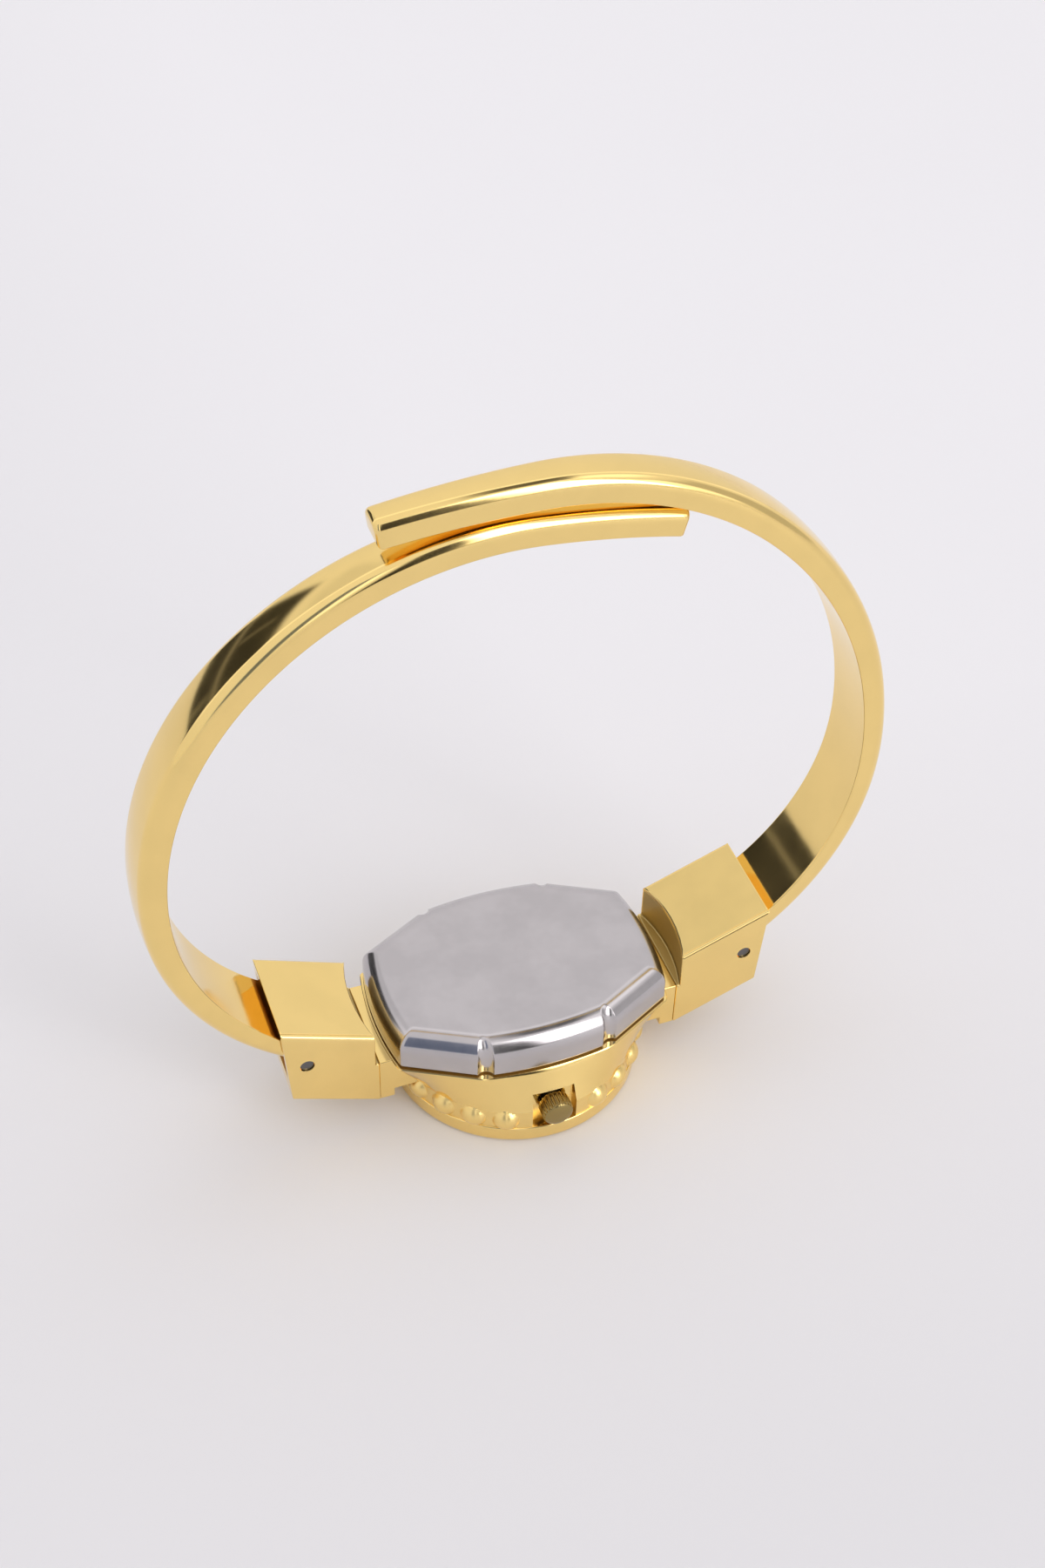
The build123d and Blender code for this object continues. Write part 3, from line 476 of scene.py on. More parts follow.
def wound_wire(name, colour):
    """Enamelled wire: fine parallel turns across the coil's length."""
    look = Finish(name, 1.0)
    turns = look.nodes.new("ShaderNodeTexWave")
    turns.bands_direction = "Y"
    turns.inputs["Scale"].default_value = 3600.0
    turns.inputs["Distortion"].default_value = 0.6
    look.links.new(look.place, turns.inputs["Vector"])
    look.grain(turns.outputs["Fac"], colour, 0.5, 1.0, 0.45, 0.25, 0.0, 1.0)
    look.relief(turns.outputs["Fac"], 0.02)
    return look


def sunburst(name, colour):
    """Lacquered dial with fine rays that run out from its centre: noise along the angle only."""
    look = Finish(name, 0.25)
    x, y, z = look.axes()
    join = look.nodes.new("ShaderNodeCombineXYZ")
    look.links.new(look.maths("ARCTAN2", x, y), join.inputs["X"])
    rays = look.noise(46.0, 4.0, 0.7, source=join.outputs["Vector"])
    look.grain(rays, colour, 0.9, 1.06, 0.28, 0.42)
    return look


def table_top(name, colour):
    """Pale matt table with a trace of unevenness, and painted shade that makes it slightly darker towards
    the front and the left.
    """
    look = Finish(name)
    x, y, z = look.axes()
    # Painted shade towards the front and the left, times a trace of uneven tone
    painted_shade_and_unevenness = look.product(look.spread(y, -0.05, 0.03, 0.0, 1.0), look.spread(x, -0.05, 0.02, 0.3, 1.0),
                         look.spread(look.noise(9.0, 2.0), 0.3, 0.7, 0.85, 1.0))
    look.wire("Base Color", look.blend(painted_shade_and_unevenness, toned(colour, 0.9), colour))
    fine = look.noise(1400.0, 2.0)
    look.wire("Roughness", look.spread(fine, 0.3, 0.7, 0.55, 0.65))
    look.relief(fine, 0.01, 0.15)
    return look


finishes = {}


class WATCH_OT_finishes(bpy.types.Operator):
    """Makes every finish and dresses the solids that keep their own shape"""
    bl_idname = "watch.finishes"
    bl_label = "Make finishes"

    def execute(self, context):
        look = context.scene.watch_finish
        gold, steel = tuple(look.gold), tuple(look.steel)
        polish = look.gold_roughness
        made = {
            "gold": polished_metal("polished_gold_plate", gold, polish),
            # Painted shade: the crown's gold is darkened to about a third, for the shade that falls under
            # the skirt
            "shade_painted_gold": polished_metal("crown_gold_painted_shade", toned(gold, 0.36), 0.22),
            "case": case_gold(gold, polish),
            "block": block_gold(gold, polish, context.scene.watch_blocks),
            "back": back_steel(steel, look.steel_roughness, context.scene.watch_head.ledge),
            "steel": polished_metal("polished_steel", steel, look.steel_roughness),
            "nickel": brushed_metal("nickelled_steel", (0.62, 0.62, 0.63), 0.24),
            "pin": brushed_metal("hinge_pin_steel", (0.16, 0.155, 0.16), 0.3),
            "brass": brushed_metal("wheel_brass", (0.80, 0.58, 0.26), 0.26),
            "glass": clear_glass("mineral_crystal"),
            "rubber": moulded("seal_rubber", (0.02, 0.02, 0.022), 0.5),
            "dial": sunburst("cream_dial", tuple(look.dial)),
            "copper": wound_wire("coil_wire", (0.72, 0.28, 0.12)),
            "board": moulded("circuit_board_green", (0.02, 0.13, 0.06), 0.35),
            "chip": moulded("black_potting", (0.015, 0.015, 0.017), 0.32),
            "plastic": moulded("holder_plastic", (0.62, 0.62, 0.58), 0.42),
        }
        finishes.update({name: finish.material for name, finish in made.items()})
        dressing = {
            "gold": ("hour_hand", "minute_hand", "dial_markers", "case_body", "bezel", "left_hinge_block",
                     "right_hinge_block", "left_arm", "right_arm", "crown"),
            "nickel": ("train_bridge", "movement_screws", "stator", "quartz_can", "battery_clamp",
                       "setting_lever", "sliding_pinion", "stem", "crown_tube", "rotor",
                       "left_hinge_spring", "right_hinge_spring"),
            "pin": ("left_hinge_pin", "right_hinge_pin"),
            "steel": ("battery", "case_back"), "glass": ("crystal",),
            "brass": ("main_plate", "center_wheel", "hour_wheel", "minute_wheel", "third_wheel"),
            "rubber": ("crystal_gasket", "case_back_gasket", "crown_gasket"),
            "dial": ("dial",), "copper": ("coil",), "board": ("circuit_board",), "chip": ("ic_chip",),
            "plastic": ("movement_holder",),
        }
        for finish, names in dressing.items():
            for name in names:
                dress(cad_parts[name], finish)
        return {"FINISHED"}


# Radii in millimetres and turns in degrees of each arm's arcs, from its neck to its tip
arm_arcs = {
    "left": ((21.5, 25.0, 27.0, 27.5, 74.0), (46.0, 10.0, 44.5, 48.5, 8.5)),
    "right": ((21.5, 25.0, 31.5, 26.7, 81.0), (46.0, 10.0, 45.0, 42.5, 8.5)),
}


def arm_line(sizes, radii, turns, along):
    """Middle line of an arm: a straight neck, then arcs; each arc adds its sine and cosine differences.

    Gives x, z and heading at each distance from the pin, for the right side, and the whole length.
    """
    lengths = [sizes.neck] + [r * math.radians(t) for r, t in zip(radii, turns)]
    bends = [0.0] + [1.0 / r for r in radii]
    heading = np.full_like(along, sizes.rise)
    x = np.full_like(along, sizes.pin_x)
    z = np.full_like(along, sizes.pin_z)
    start, angle = 0.0, sizes.rise
    for length, bend in zip(lengths, bends):
        part = np.clip(along - start, 0.0, length)
        if bend == 0.0:
            x = x + part * math.cos(angle)
            z = z + part * math.sin(angle)
        else:
            x = x + (np.sin(angle + bend * part) - math.sin(angle)) / bend
            z = z - (np.cos(angle + bend * part) - math.cos(angle)) / bend
        heading = heading + bend * part
        start, angle = start + length, angle + bend * length
    return x, z, heading, start


def band_section(sizes, width, edge, inset):
    """Arm section for each width: flat inner face, small inner corners, round shoulders, crowned outer face.

    The outer face is a parabola that starts at the end of the shoulder's arc, with the arc's slope.
    Gives the place across the arm and the place towards the ring's middle.
    """
    half = width[:, None] / 2.0
    inner = sizes.thickness / 2.0
    lean = sizes.crown
    corner = sizes.inner_edge
    shoulder = edge[:, None]
    d = inset[:, None]
    top = np.radians(np.linspace(90.0, 0.0, 8))
    side = np.linspace(0.0, lean - np.pi / 2.0, 21)
    outer = np.array([0.96, 0.85, 0.7, 0.55, 0.4, 0.25, 0.12, 0.0])
    rise = (half - shoulder + shoulder * math.sin(lean)) * math.tan(lean / 2.0)
    centre = -inner + rise + shoulder * math.cos(lean)
    reach = half - shoulder + (shoulder - d) * math.sin(lean)
    kept, lost = np.minimum(d, corner), np.maximum(d - corner, 0.0)
    ease = 0.04
    y = np.concatenate([
        (half - corner - lost) * 0.4, half - corner - lost - ease,
        half - corner + (corner - kept) * np.cos(top) - lost,
        half - d, half - d,
        half - shoulder + (shoulder - d) * np.cos(side),
        reach * outer], axis=1)
    flat = inner - kept - lost
    t = np.concatenate([
        flat, flat,
        inner - corner + (corner - kept) * np.sin(top) - lost,
        inner - corner - lost - ease, centre + ease,
        centre + (shoulder - d) * np.sin(side),
        -inner + d * (1.0 - (1.0 - math.cos(lean)) * outer ** 2) + rise * outer ** 2], axis=1)
    y = np.concatenate([y, -y[:, -2::-1]], axis=1)
    t = np.concatenate([t, t[:, -2::-1]], axis=1)
    return y, t


def arm_band(sizes, side, radii, turns):
    """Band of one arm: the section carried along the middle line, its tip rounded by shrinking rings."""
    total = arm_line(sizes, radii, turns, np.zeros(1))[3]
    tip_round = 0.42
    turn = np.radians(np.linspace(0.0, 90.0, 9))
    along = np.concatenate([np.linspace(1.0, total - tip_round, 300),
                            total - tip_round * (1 - np.sin(turn[1:]))])
    inset = np.concatenate([np.zeros(300), tip_round * (1 - np.cos(turn[1:]))])
    x, z, heading, total = arm_line(sizes, radii, turns, along)
    fraction = along / total
    width = sizes.root_width + (sizes.tip_width - sizes.root_width) * fraction
    edge = sizes.root_edge + (sizes.tip_edge - sizes.root_edge) * fraction
    y, t = band_section(sizes, width, edge, inset)
    px = side * (x[:, None] - t * np.sin(heading)[:, None])
    pz = z[:, None] + t * np.cos(heading)[:, None]
    return np.stack([px, y, pz], axis=-1)


class WATCH_OT_arms(bpy.types.Operator):
    """Builds both bangle arms: a tapering band and the knuckle round its hinge pin"""
    bl_idname = "watch.arms"
    bl_label = "Build arms"

    def execute(self, context):
        sizes = measures(context.scene.watch_arms)
        for hand, side in SIDES.items():
            body = hand + "_arm"
            rows = arm_band(sizes, side, *arm_arcs[hand])
            band = surface_object(body + "_band", rows, smooth_angle=40.0)
            place(band, "gold", body, body)
            half = sizes.root_width / 2.0
            outer, bore, soft = sizes.knuckle, sizes.bore, 0.12
            profile = np.concatenate([
                quarter(outer - soft, half - soft, soft, 90, 0),
                quarter(outer - soft, -half + soft, soft, 0, -90),
                [(bore, -half), (bore, half)]])
            rows = ring(profile, 72, (side * sizes.pin_x, 0.0, sizes.pin_z), "Y")
            knuckle = surface_object(body + "_knuckle", rows, looped=True)
            place(knuckle, "gold", body, body)
        return {"FINISHED"}


def bow_reach(c, s, chord, sagitta, far, growth):
    """Distance along the ray (c, s) to a bowed side: an arc through its two ends and its crest.

    The side lies at the given distance on the ray's second axis; growth moves it outwards.
    """
    radius = (chord ** 2 + sagitta ** 2) / (2.0 * sagitta)
    centre = far + sagitta - radius
    dot = s * centre
    return dot + np.sqrt(dot ** 2 + (radius + growth) ** 2 - centre ** 2)


def back_reach(sizes, angle, growth):
    """Distance from the centre to the back's outline, moved outwards by growth, at each angle.

    The least of the distances to the bowed ends, the bowed sides and the slanted sides; the high power
    that joins them rounds the corners.
    """
    c, s = np.abs(np.cos(angle)), np.abs(np.sin(angle))
    x, y, nx, ny = sizes.back_x, sizes.back_y, sizes.notch_x, sizes.notch_y
    length = math.hypot(x - nx, ny - y)
    slant = (growth + (nx * (ny - y) + ny * (x - nx)) / length) / (((ny - y) * c + (x - nx) * s) / length)
    end = bow_reach(s, c, y, sizes.end_bow, x, growth)
    long_side = bow_reach(c, s, nx, sizes.side_bow, ny, growth)
    power = 190.0
    least = np.minimum(np.minimum(slant, end), long_side)
    return least * sum((least / reach) ** power for reach in (slant, end, long_side)) ** (-1.0 / power)


def scalloped_reach(sizes, angle, inset):
    """The back's outline, moved inwards by inset, less the four scallops, which lean in with it."""
    reach = back_reach(sizes, angle, -inset)
    c, s = np.cos(angle), np.sin(angle)
    lean = 0.75
    radius, x = sizes.notch_radius, sizes.notch_x
    y = sizes.notch_y + sizes.notch_offset - lean * inset
    for nx in (-x, x):
        for ny in (-y, y):
            dot = c * nx + s * ny
            inside = dot ** 2 - (nx ** 2 + ny ** 2 - radius ** 2)
            hit = dot - np.sqrt(np.maximum(inside, 0.0))
            reach = np.where((inside > 0.0) & (dot > 0.0), np.minimum(reach, hit), reach)
    return reach


class WATCH_OT_steel_back(bpy.types.Operator):
    """Builds the steel back: bowed outline with scalloped corners, rounded above and chamfered below"""
    bl_idname = "watch.steel_back"
    bl_label = "Build steel back"

    def execute(self, context):
        sizes = measures(context.scene.watch_head)
        low, top, edge = sizes.ledge, sizes.top, sizes.back_edge
        angle = np.linspace(0.0, 2.0 * np.pi, 2880, endpoint=False)
        turn = np.radians(np.linspace(0.0, 90.0, 25))
        levels = [(0.24, low), (0.2, low + 0.02), (0.02, low + 0.19), (0.0, low + 0.22), (0.0, low + 0.3),
                  (0.0, top - edge - 0.1)]
        levels += [(edge * (1.0 - math.cos(a)), top - edge + edge * math.sin(a)) for a in turn]
        levels += [(edge + 0.04, top), (edge + 0.5, top)]
        back = surface_object("steel_back", [
            level_ring(scalloped_reach(sizes, angle, inset), angle, height) for inset, height in levels])
        place(back, "back", HEAD, "case_back", "polished_steel")
        return {"FINISHED"}


def bead_reach(angle, height, sizes):
    """Distance at one height to the far side of the nearest bead, a ball on the pitch circle, or nought."""
    pitch = 2.0 * np.pi / sizes.beads
    offset = angle % pitch - pitch / 2.0
    centre, bead = sizes.bead_pitch, sizes.bead_radius
    middle = (sizes.bezel_top + sizes.flank_top) / 2.0
    inside = bead ** 2 - (height - middle) ** 2 - (centre * np.sin(offset)) ** 2
    far = centre * np.cos(offset) + np.sqrt(np.maximum(inside, 0.0))
    beside_crown = (np.abs(np.cos(angle)) * centre < 2.6) & (np.sin(angle) < 0.0)
    return np.where((inside > 0.0) & ~beside_crown, far, 0.0)


class WATCH_OT_case(bpy.types.Operator):
    """Builds the gold case: beaded flank, skirt up to the ledge, rim and two lugs"""
    bl_idname = "watch.case"
    bl_label = "Build case"

    def execute(self, context):
        sizes, blocks = measures(context.scene.watch_head), measures(context.scene.watch_blocks)
        angle = np.linspace(0.0, 2.0 * np.pi, 1800, endpoint=False)
        base, flank, ledge = sizes.bezel_top, sizes.flank_top, sizes.ledge
        skirt = np.full_like(angle, sizes.skirt_radius)
        wide = back_reach(sizes, angle, sizes.ledge_margin)
        rim_outer, rim_inner = back_reach(sizes, angle, -0.85), back_reach(sizes, angle, -1.45)
        rim_top, bore, bore_top = ledge + 1.5, 9.0, base + 4.05
        recess_top, lip, drop = sizes.recess_top, 0.06, 0.04
        near_crown = (np.abs(np.cos(angle)) * 9.8 < sizes.recess_half) & (np.sin(angle) < 0.0)
        recess = np.where(near_crown, sizes.recess_y / np.maximum(-np.sin(angle), 0.1), np.inf)
        rows = []
        low = np.linspace(base, flank, 19)
        high = [3.65, 3.7, 3.75, 3.8, 3.85, 3.9, 4.2, 4.6, recess_top, recess_top + 0.01, 5.7, 6.2, 6.7]
        for height in np.concatenate([low, high, [ledge - lip]]):
            part = max(0.0, (height - flank) / (ledge - lip - flank))
            reach = np.maximum(skirt + (wide - skirt) * part, bead_reach(angle, height, sizes))
            rows.append((np.minimum(reach, recess) if height <= recess_top else reach, height))
        rows += [(wide - lip, ledge), (rim_outer, ledge), (rim_outer, rim_top), (rim_inner, rim_top),
                 (rim_inner, bore_top), (bore, bore_top), (bore, base)]
        shell = surface_object("case_shell", [level_ring(reach, angle, height) for reach, height in rows],
                               looped=True)
        place(shell, "case", HEAD, "case_body")
        for hand, side in SIDES.items():
            root, step, end = sizes.lug_root, sizes.lug_step, blocks.seat
            foot, top, half = blocks.low, ledge - drop, sizes.lug_half_width
            outline = [(root, flank), (step, flank), (step, foot), (end, foot), (end, top), (root, top)]
            lug = surface_object(hand + "_case_lug",
                                 [[(side * x, y, z) for x, z in outline] for y in (-half, half)])
            soften(lug, 0.07, 3, "ANGLE")
            place(lug, "gold", HEAD, "case_body")
        return {"FINISHED"}


class WATCH_OT_bezel(bpy.types.Operator):
    """Builds the bezel ring and the crystal that sits in it"""
    bl_idname = "watch.bezel"
    bl_label = "Build bezel and crystal"

    def execute(self, context):
        top = context.scene.watch_head.bezel_top / MM
        profile = np.concatenate([
            [(8.1, 1.27), (8.1, top)], quarter(10.5, top - 0.1, 0.1, 90, 0, 4),
            quarter(10.1, 0.5, 0.5, 0, -90, 9), quarter(8.9, 0.1, 0.1, -90, -180, 4),
            [(8.8, 1.25), (8.12, 1.25)]])
        bezel = surface_object("bezel_ring", ring(profile, 320), looped=True)
        place(bezel, "gold", HEAD, "bezel")
        profile = [(0.02, 1.25), (8.47, 1.25), (8.5, 1.22), (8.5, 0.4), (8.35, 0.25), (8.3, 0.25),
                   (0.02, 0.25)]
        glass = surface_object("crystal_disc", ring(profile, 160))
        place(glass, "glass", HEAD, "crystal", "crystal")
        return {"FINISHED"}


class WATCH_OT_crown(bpy.types.Operator):
    """Builds the fluted crown"""
    bl_idname = "watch.crown"
    bl_label = "Build crown"

    def execute(self, context):
        sizes = measures(context.scene.watch_head)
        radius, flutes = sizes.crown_radius, sizes.flutes
        angle = np.linspace(0.0, 2.0 * np.pi, flutes * 18, endpoint=False)
        pitch = 2.0 * np.pi / flutes
        offset = (angle + pitch / 2.0) % pitch - pitch / 2.0
        flute = 0.13
        inside = flute ** 2 - (radius * np.sin(offset)) ** 2
        cut = np.where(inside > 0.0, radius * np.cos(offset) - np.sqrt(np.maximum(inside, 0.0)), radius)
        profile = [(-11.05, 0.03), (-11.05, 0.98), (-9.85, 0.98), (-9.85, 1.23), (-9.92, 1.3),
                   (-10.95, 1.3), (-11.11, 1.27), (-11.25, 1.19), (-11.34, 1.06), (-11.4, 0.88),
                   (-11.43, 0.6), (-11.45, 0.03)]
        rows = []
        for y, limit in profile:
            reach = np.minimum(cut, limit) if limit > 1.0 else np.full_like(angle, limit)
            rows.append(level_ring(reach, angle, y)[:, [0, 2, 1]] + (0.0, 0.0, sizes.crown_z))
        crown = surface_object("fluted_crown", rows)
        # The crown wears the gold that is darkened by painted shade
        place(crown, "shade_painted_gold", "crown", "crown")
        return {"FINISHED"}


def block_outline(sizes, ledge, y, slotted):
    """Outline of a hinge block at one place across, with the arm's slot and the hollow inner end."""
    slope = math.tan(sizes.slope)
    seat, low, floor_z, slot_end = sizes.seat, sizes.low, sizes.slot_floor, sizes.slot_end
    reach = math.sqrt(sizes.hollow ** 2 - y ** 2)

    def top_z(x):
        return sizes.high + (x - seat) * slope

    def roof(x):
        return top_z(x) - sizes.slot_cover / math.cos(sizes.slope)

    def end_x(z):
        return foot[0] + (head[0] - foot[0]) * (z - foot[1]) / (head[1] - foot[1])

    foot = (sizes.foot_end, low + (sizes.foot_end - seat) * slope)
    head = (sizes.head_end, top_z(sizes.head_end))
    roof_z = roof(head[0] - 0.1)
    near, far = (end_x(floor_z), floor_z), (end_x(roof_z), roof_z)
    inner = [(slot_end, floor_z), (slot_end, roof(slot_end))] if slotted else [near, far]
    return [(seat, low), foot, near, *inner, far, head, (reach, top_z(reach)), (reach, ledge), (seat, ledge)]


class WATCH_OT_hinge_blocks(bpy.types.Operator):
    """Builds the two hinge blocks that join the arms to the case"""
    bl_idname = "watch.hinge_blocks"
    bl_label = "Build hinge blocks"

    def execute(self, context):
        sizes, arms = measures(context.scene.watch_blocks), measures(context.scene.watch_arms)
        ledge = context.scene.watch_head.ledge / MM
        wide, slot = sizes.half_width, sizes.slot_half_width
        places = [(-wide, False), (-slot, False)] + [(y, True) for y in np.linspace(-slot, slot, 7)]
        places += [(slot, False), (wide, False)]
        for hand, side in SIDES.items():
            block = surface_object(hand + "_block", [
                [(side * x, y, z) for x, z in block_outline(sizes, ledge, y, cut)] for y, cut in places])
            pin = (side * arms.pin_x, arms.pin_z)
            rework(block, self.merge)
            rework(block, self.bore, pin, sizes)
            rework(block, self.weigh, pin, sizes)
            soften(block, sizes.edge, 4, "WEIGHT")
            place(block, "block", HEAD, hand + "_hinge_block")
        return {"FINISHED"}

    def merge(self, work):
        """Merges coincident corners and points every face outwards."""
        bmesh.ops.remove_doubles(work, verts=work.verts, dist=1e-7)
        bmesh.ops.dissolve_degenerate(work, dist=1e-8, edges=work.edges)
        bmesh.ops.recalc_face_normals(work, faces=work.faces)

    def bore(self, work, pin, sizes):
        """Sinks a round seat for the hinge pin into both side faces."""
        radius, depth = sizes.pin_seat, sizes.pin_depth
        for side in (-1.0, 1.0):
            y = side * sizes.half_width
            flat = next(f for f in work.faces if all(abs(v.co.y - y * MM) < 1e-7 for v in f.verts))
            circle = ring([(radius, y)], 40, (pin[0], 0.0, pin[1]), "Y")[0]
            rim = [work.verts.new(p) for p in (circle * MM).tolist()]
            circle[:, 1] = y - side * depth
            seat = [work.verts.new(p) for p in (circle * MM).tolist()]
            corners = list(flat.verts)
            loops = [[v.co.copy() for v in corners], [v.co.copy() for v in rim]]
            spots = corners + rim
            pieces = tessellate_polygon(loops)
            work.faces.remove(flat)
            for piece in pieces:
                work.faces.new([spots[i] for i in piece])
            for i in range(len(rim)):
                j = (i + 1) % len(rim)
                work.faces.new((rim[i], rim[j], seat[j], seat[i])).smooth = True
            work.faces.new(seat)
        bmesh.ops.recalc_face_normals(work, faces=work.faces)

    def weigh(self, work, pin, sizes):
        """Gives the long top edges a full bevel, other sharp edges a small one and the pin seats none."""
        small_share, clear_of_seat = 0.3, 0.1
        wide, seat_x, high = sizes.half_width, sizes.seat, sizes.high
        radius = sizes.pin_seat + clear_of_seat
        slope = math.tan(sizes.slope)
        weight = work.edges.layers.float.new("bevel_weight_edge")
        for edge in work.edges:
            if len(edge.link_faces) == 2 and edge.calc_face_angle(0.0) > math.radians(30.0):
                ends = [v.co / MM for v in edge.verts]
                raised = all(abs(abs(p.y) - wide) < 0.01
                             and abs(p.z - high - (abs(p.x) - seat_x) * slope) < 0.02 for p in ends)
                seat = all(math.hypot(p.x - pin[0], p.z - pin[1]) < radius for p in ends)
                edge[weight] = 1.0 if raised else 0.0 if seat else small_share


def sky(world):
    """Studio surroundings: pale all round, brighter above, with soft-edged patches and beams.

    A patch is a window in bearing and height, and a beam is a strip of the sky overhead. Each scales
    the light behind it, as mirrors see it; the table and the camera see plain levels.
    """
    world.use_nodes = True
    world.node_tree.nodes.clear()
    tree = Tree(world.node_tree, "Generated")
    x, y, z = tree.axes()
    bearing, height = tree.maths("ARCTAN2", x, y), tree.maths("ARCSINE", z)

    def window(source, low, high, edge, far_edge=None):
        """One between two limits and nought outside, with soft edges."""
        far_edge = far_edge or edge
        return tree.product(tree.spread(source, low - edge, low + edge, 0.0, 1.0, "SMOOTHSTEP"),
                            tree.spread(source, high - far_edge, high + far_edge, 1.0, 0.0, "SMOOTHSTEP"))

    def patch(middle, half_width, low, high, edge):
        """One inside a patch of the sky and nought outside."""
        turned = tree.maths("WRAP", tree.maths("SUBTRACT", bearing, middle), math.pi, -math.pi)
        return tree.product(window(turned, -half_width, half_width, edge), window(height, low, high, edge))

    def scaled(level, mask, gain):
        """The level, times the gain where the mask is one."""
        return tree.product(level, tree.maths("MULTIPLY_ADD", mask, gain - 1.0, 1.0))

    level = tree.spread(height, 0.0, math.radians(70.0), 0.84, 0.94, "SMOOTHSTEP")
    for *limits, gain in sky_patches:
        level = scaled(level, patch(*np.radians(limits).tolist()), gain)
    for middle, half_width, edge, lowest, left, right, gain in sky_beams:
        strip = window(y, middle - half_width, middle + half_width, edge)
        ends = window(x, left, right, 0.03, 0.04)
        raised = tree.spread(z, lowest - 0.1, lowest + 0.1, 0.0, 1.0, "SMOOTHSTEP")
        level = scaled(level, tree.product(strip, ends, raised), gain)
    rays = tree.nodes.new("ShaderNodeLightPath").outputs
    plain = tree.maths("MAXIMUM", rays["Is Camera Ray"], rays["Is Diffuse Ray"])
    seen = tree.maths("MULTIPLY_ADD", rays["Is Camera Ray"], -0.08, 0.84)
    mix = tree.nodes.new("ShaderNodeMix")
    for socket, value in ((0, plain), (2, level), (3, seen)):
        tree.connect(value, mix.inputs[socket])
    blue = tree.product(patch(*np.radians(blue_patch).tolist()), tree.maths("SUBTRACT", 1.0, plain))
    glow = tree.nodes.new("ShaderNodeBackground")
    tree.connect(mix.outputs[0], glow.inputs["Strength"])
    tree.connect(tree.blend(blue, (0.99, 0.975, 1.0), (0.78, 0.93, 1.32)), glow.inputs["Color"])
    out = tree.nodes.new("ShaderNodeOutputWorld")
    tree.connect(glow.outputs["Background"], out.inputs["Surface"])


# Overhead: place and half width along Y, edge blur, lowest Z, left and right end (all of one), and gain
sky_beams = (
    (0.03, 0.24, 0.04, 0.0, 0.15, 0.40, 0.13),
    (0.40, 0.09, 0.05, 0.15, -2.0, 2.0, 1.3),
)

# Bearing clockwise from the far side, half width, lowest and highest height, edge blur, and gain
sky_patches = (
    (-42.0, 17.0, -12.0, 30.0, 1.6, 0.045),
    (-42.0, 17.0, 8.5, 10.5, 0.8, 7.0),
    (-49.0, 1.3, -12.0, 7.0, 0.8, 4.0),
    (-36.0, 0.9, 12.0, 24.0, 0.7, 4.0),
    (-146.0, 9.5, 2.0, 56.0, 2.5, 0.26),
    (176.5, 9.0, 4.0, 54.0, 2.0, 0.04),
    (-162.0, 5.0, 14.0, 50.0, 2.5, 1.7),
    (154.0, 12.0, 10.0, 62.0, 3.0, 5.0),
    (136.0, 11.0, 8.0, 34.0, 3.0, 1.7),
    (104.0, 20.0, -6.0, 36.0, 4.0, 0.66),
    (104.0, 20.0, 46.0, 72.0, 4.0, 1.6),
    (-33.0, 14.0, 36.0, 54.0, 4.0, 0.82),
)

# The patch that has a blue cast, without its gain
blue_patch = sky_patches[4][:-1]


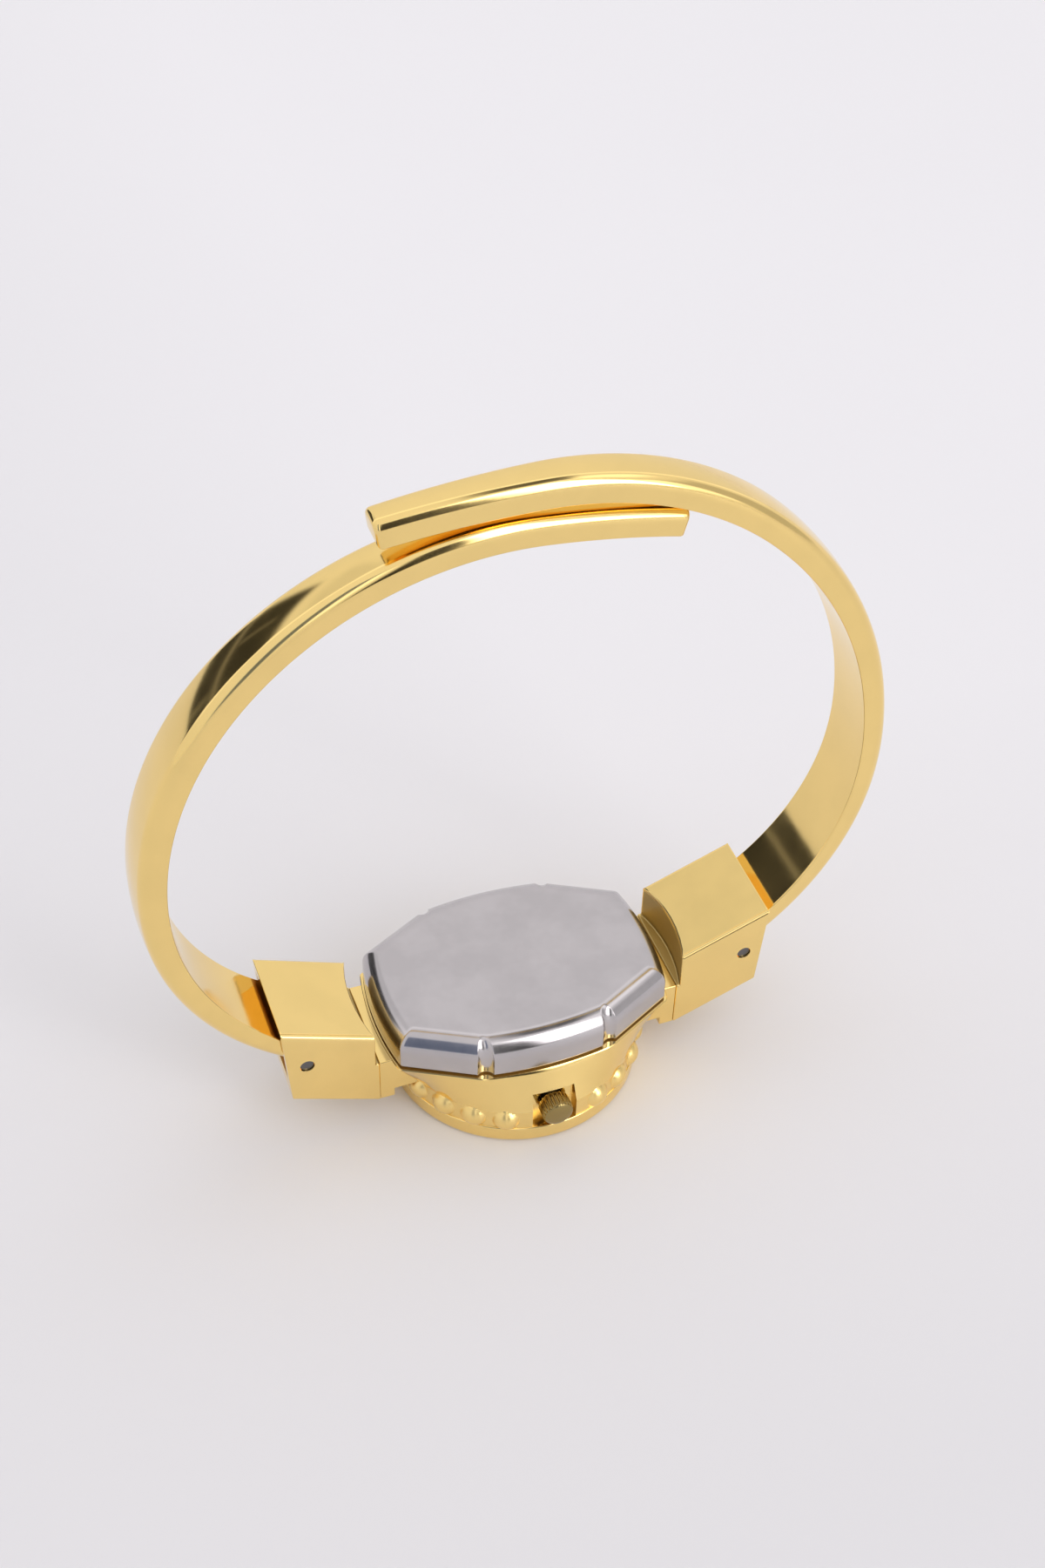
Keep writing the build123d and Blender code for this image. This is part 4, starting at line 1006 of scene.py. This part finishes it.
class WATCH_OT_stage(bpy.types.Operator):
    """Builds the pale table, the soft lights and the camera"""
    bl_idname = "watch.stage"
    bl_label = "Build stage"

    def execute(self, context):
        scene = context.scene
        radius, depth, sink = 2200.0, 20.0, 0.02
        table = surface_object("table", ring([(radius, -sink), (radius, -sink - depth)], 96))
        table.data.materials.append(table_top("pale_table", tuple(scene.watch_finish.floor)).material)
        self.light("overhead_softbox", (0.10, 0.35, 0.75), (0.0, 0.0, 0.02), 0.7, 0.5, 0.34)
        self.light("front_softbox", (0.30, -0.55, 0.62), (0.0, 0.0, 0.02), 0.45, 0.35, 0.12)
        scene.world = scene.world or bpy.data.worlds.new("studio")
        sky(scene.world)
        scene.view_settings.view_transform = "Standard"
        self.camera(scene)
        return {"FINISHED"}

    def light(self, name, place, target, width, height, power):
        """Adds one soft rectangular light that faces the target."""
        data = bpy.data.lights.new(name, "AREA")
        data.shape = "RECTANGLE"
        data.size, data.size_y = width, height
        data.energy = power
        lamp = bpy.data.objects.new(name, data)
        bpy.context.scene.collection.objects.link(lamp)
        lamp.visible_glossy = False
        lamp.location = place
        lamp.rotation_euler = (Vector(target) - Vector(place)).to_track_quat("-Z", "Y").to_euler()

    def camera(self, scene):
        """Puts the camera at its bearing, elevation, distance and roll about the aim point."""
        bearing, rise, roll, distance = 0.36964, math.radians(43.0), math.radians(1.80), 166.37
        level = math.cos(rise)
        away = Vector((-math.sin(bearing) * level, -math.cos(bearing) * level, math.sin(rise)))
        aim = Vector((0.276, 0.0, 30.33)) * MM
        right = (-away).cross(Vector((0.0, 0.0, 1.0))).normalized()
        up = right.cross(-away)
        across = right * math.cos(roll) + up * math.sin(roll)
        upward = up * math.cos(roll) - right * math.sin(roll)
        data = bpy.data.cameras.new("camera")
        data.lens, data.sensor_width = 50.0, 36.0
        data.clip_start, data.clip_end = 0.005, 20.0
        camera = bpy.data.objects.new("camera", data)
        scene.collection.objects.link(camera)
        turn = Matrix((across, upward, away)).transposed().to_4x4()
        camera.matrix_world = Matrix.Translation(aim + away * distance * MM) @ turn
        scene.camera = camera


class WATCH_PT_panel(bpy.types.Panel):
    """Sidebar panel that lists the sizes, the finishes and the steps"""
    bl_idname = "WATCH_PT_panel"
    bl_label = "Bangle Watch"
    bl_space_type = "VIEW_3D"
    bl_region_type = "UI"
    bl_category = "Watch"

    def draw(self, context):
        layout = self.layout
        for title in groups:
            group = getattr(context.scene, title)
            box = layout.box()
            for name in group.__annotations__:
                box.prop(group, name)
        for step in steps:
            layout.operator(step.bl_idname)


steps = (WATCH_OT_finishes, WATCH_OT_arms, WATCH_OT_hinge_blocks, WATCH_OT_case, WATCH_OT_steel_back,
         WATCH_OT_bezel, WATCH_OT_crown, WATCH_OT_stage)
groups = {"watch_arms": WatchArmSizes, "watch_blocks": WatchBlockSizes, "watch_head": WatchHeadSizes,
          "watch_finish": WatchFinish}
classes = (*groups.values(), *steps, WATCH_PT_panel)


def register():
    for item in classes:
        bpy.utils.register_class(item)
    for name, group in groups.items():
        setattr(bpy.types.Scene, name, PointerProperty(type=group))


def unregister():
    for name in groups:
        delattr(bpy.types.Scene, name)
    for item in reversed(classes):
        bpy.utils.unregister_class(item)


def main():
    """Registers the classes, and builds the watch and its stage."""
    register()
    bpy.ops.watch.finishes()
    bpy.ops.watch.arms()
    bpy.ops.watch.hinge_blocks()
    bpy.ops.watch.case()
    bpy.ops.watch.steel_back()
    bpy.ops.watch.bezel()
    bpy.ops.watch.crown()
    bpy.ops.watch.stage()
    bpy.context.view_layer.update()


if __name__ == "__main__":
    main()
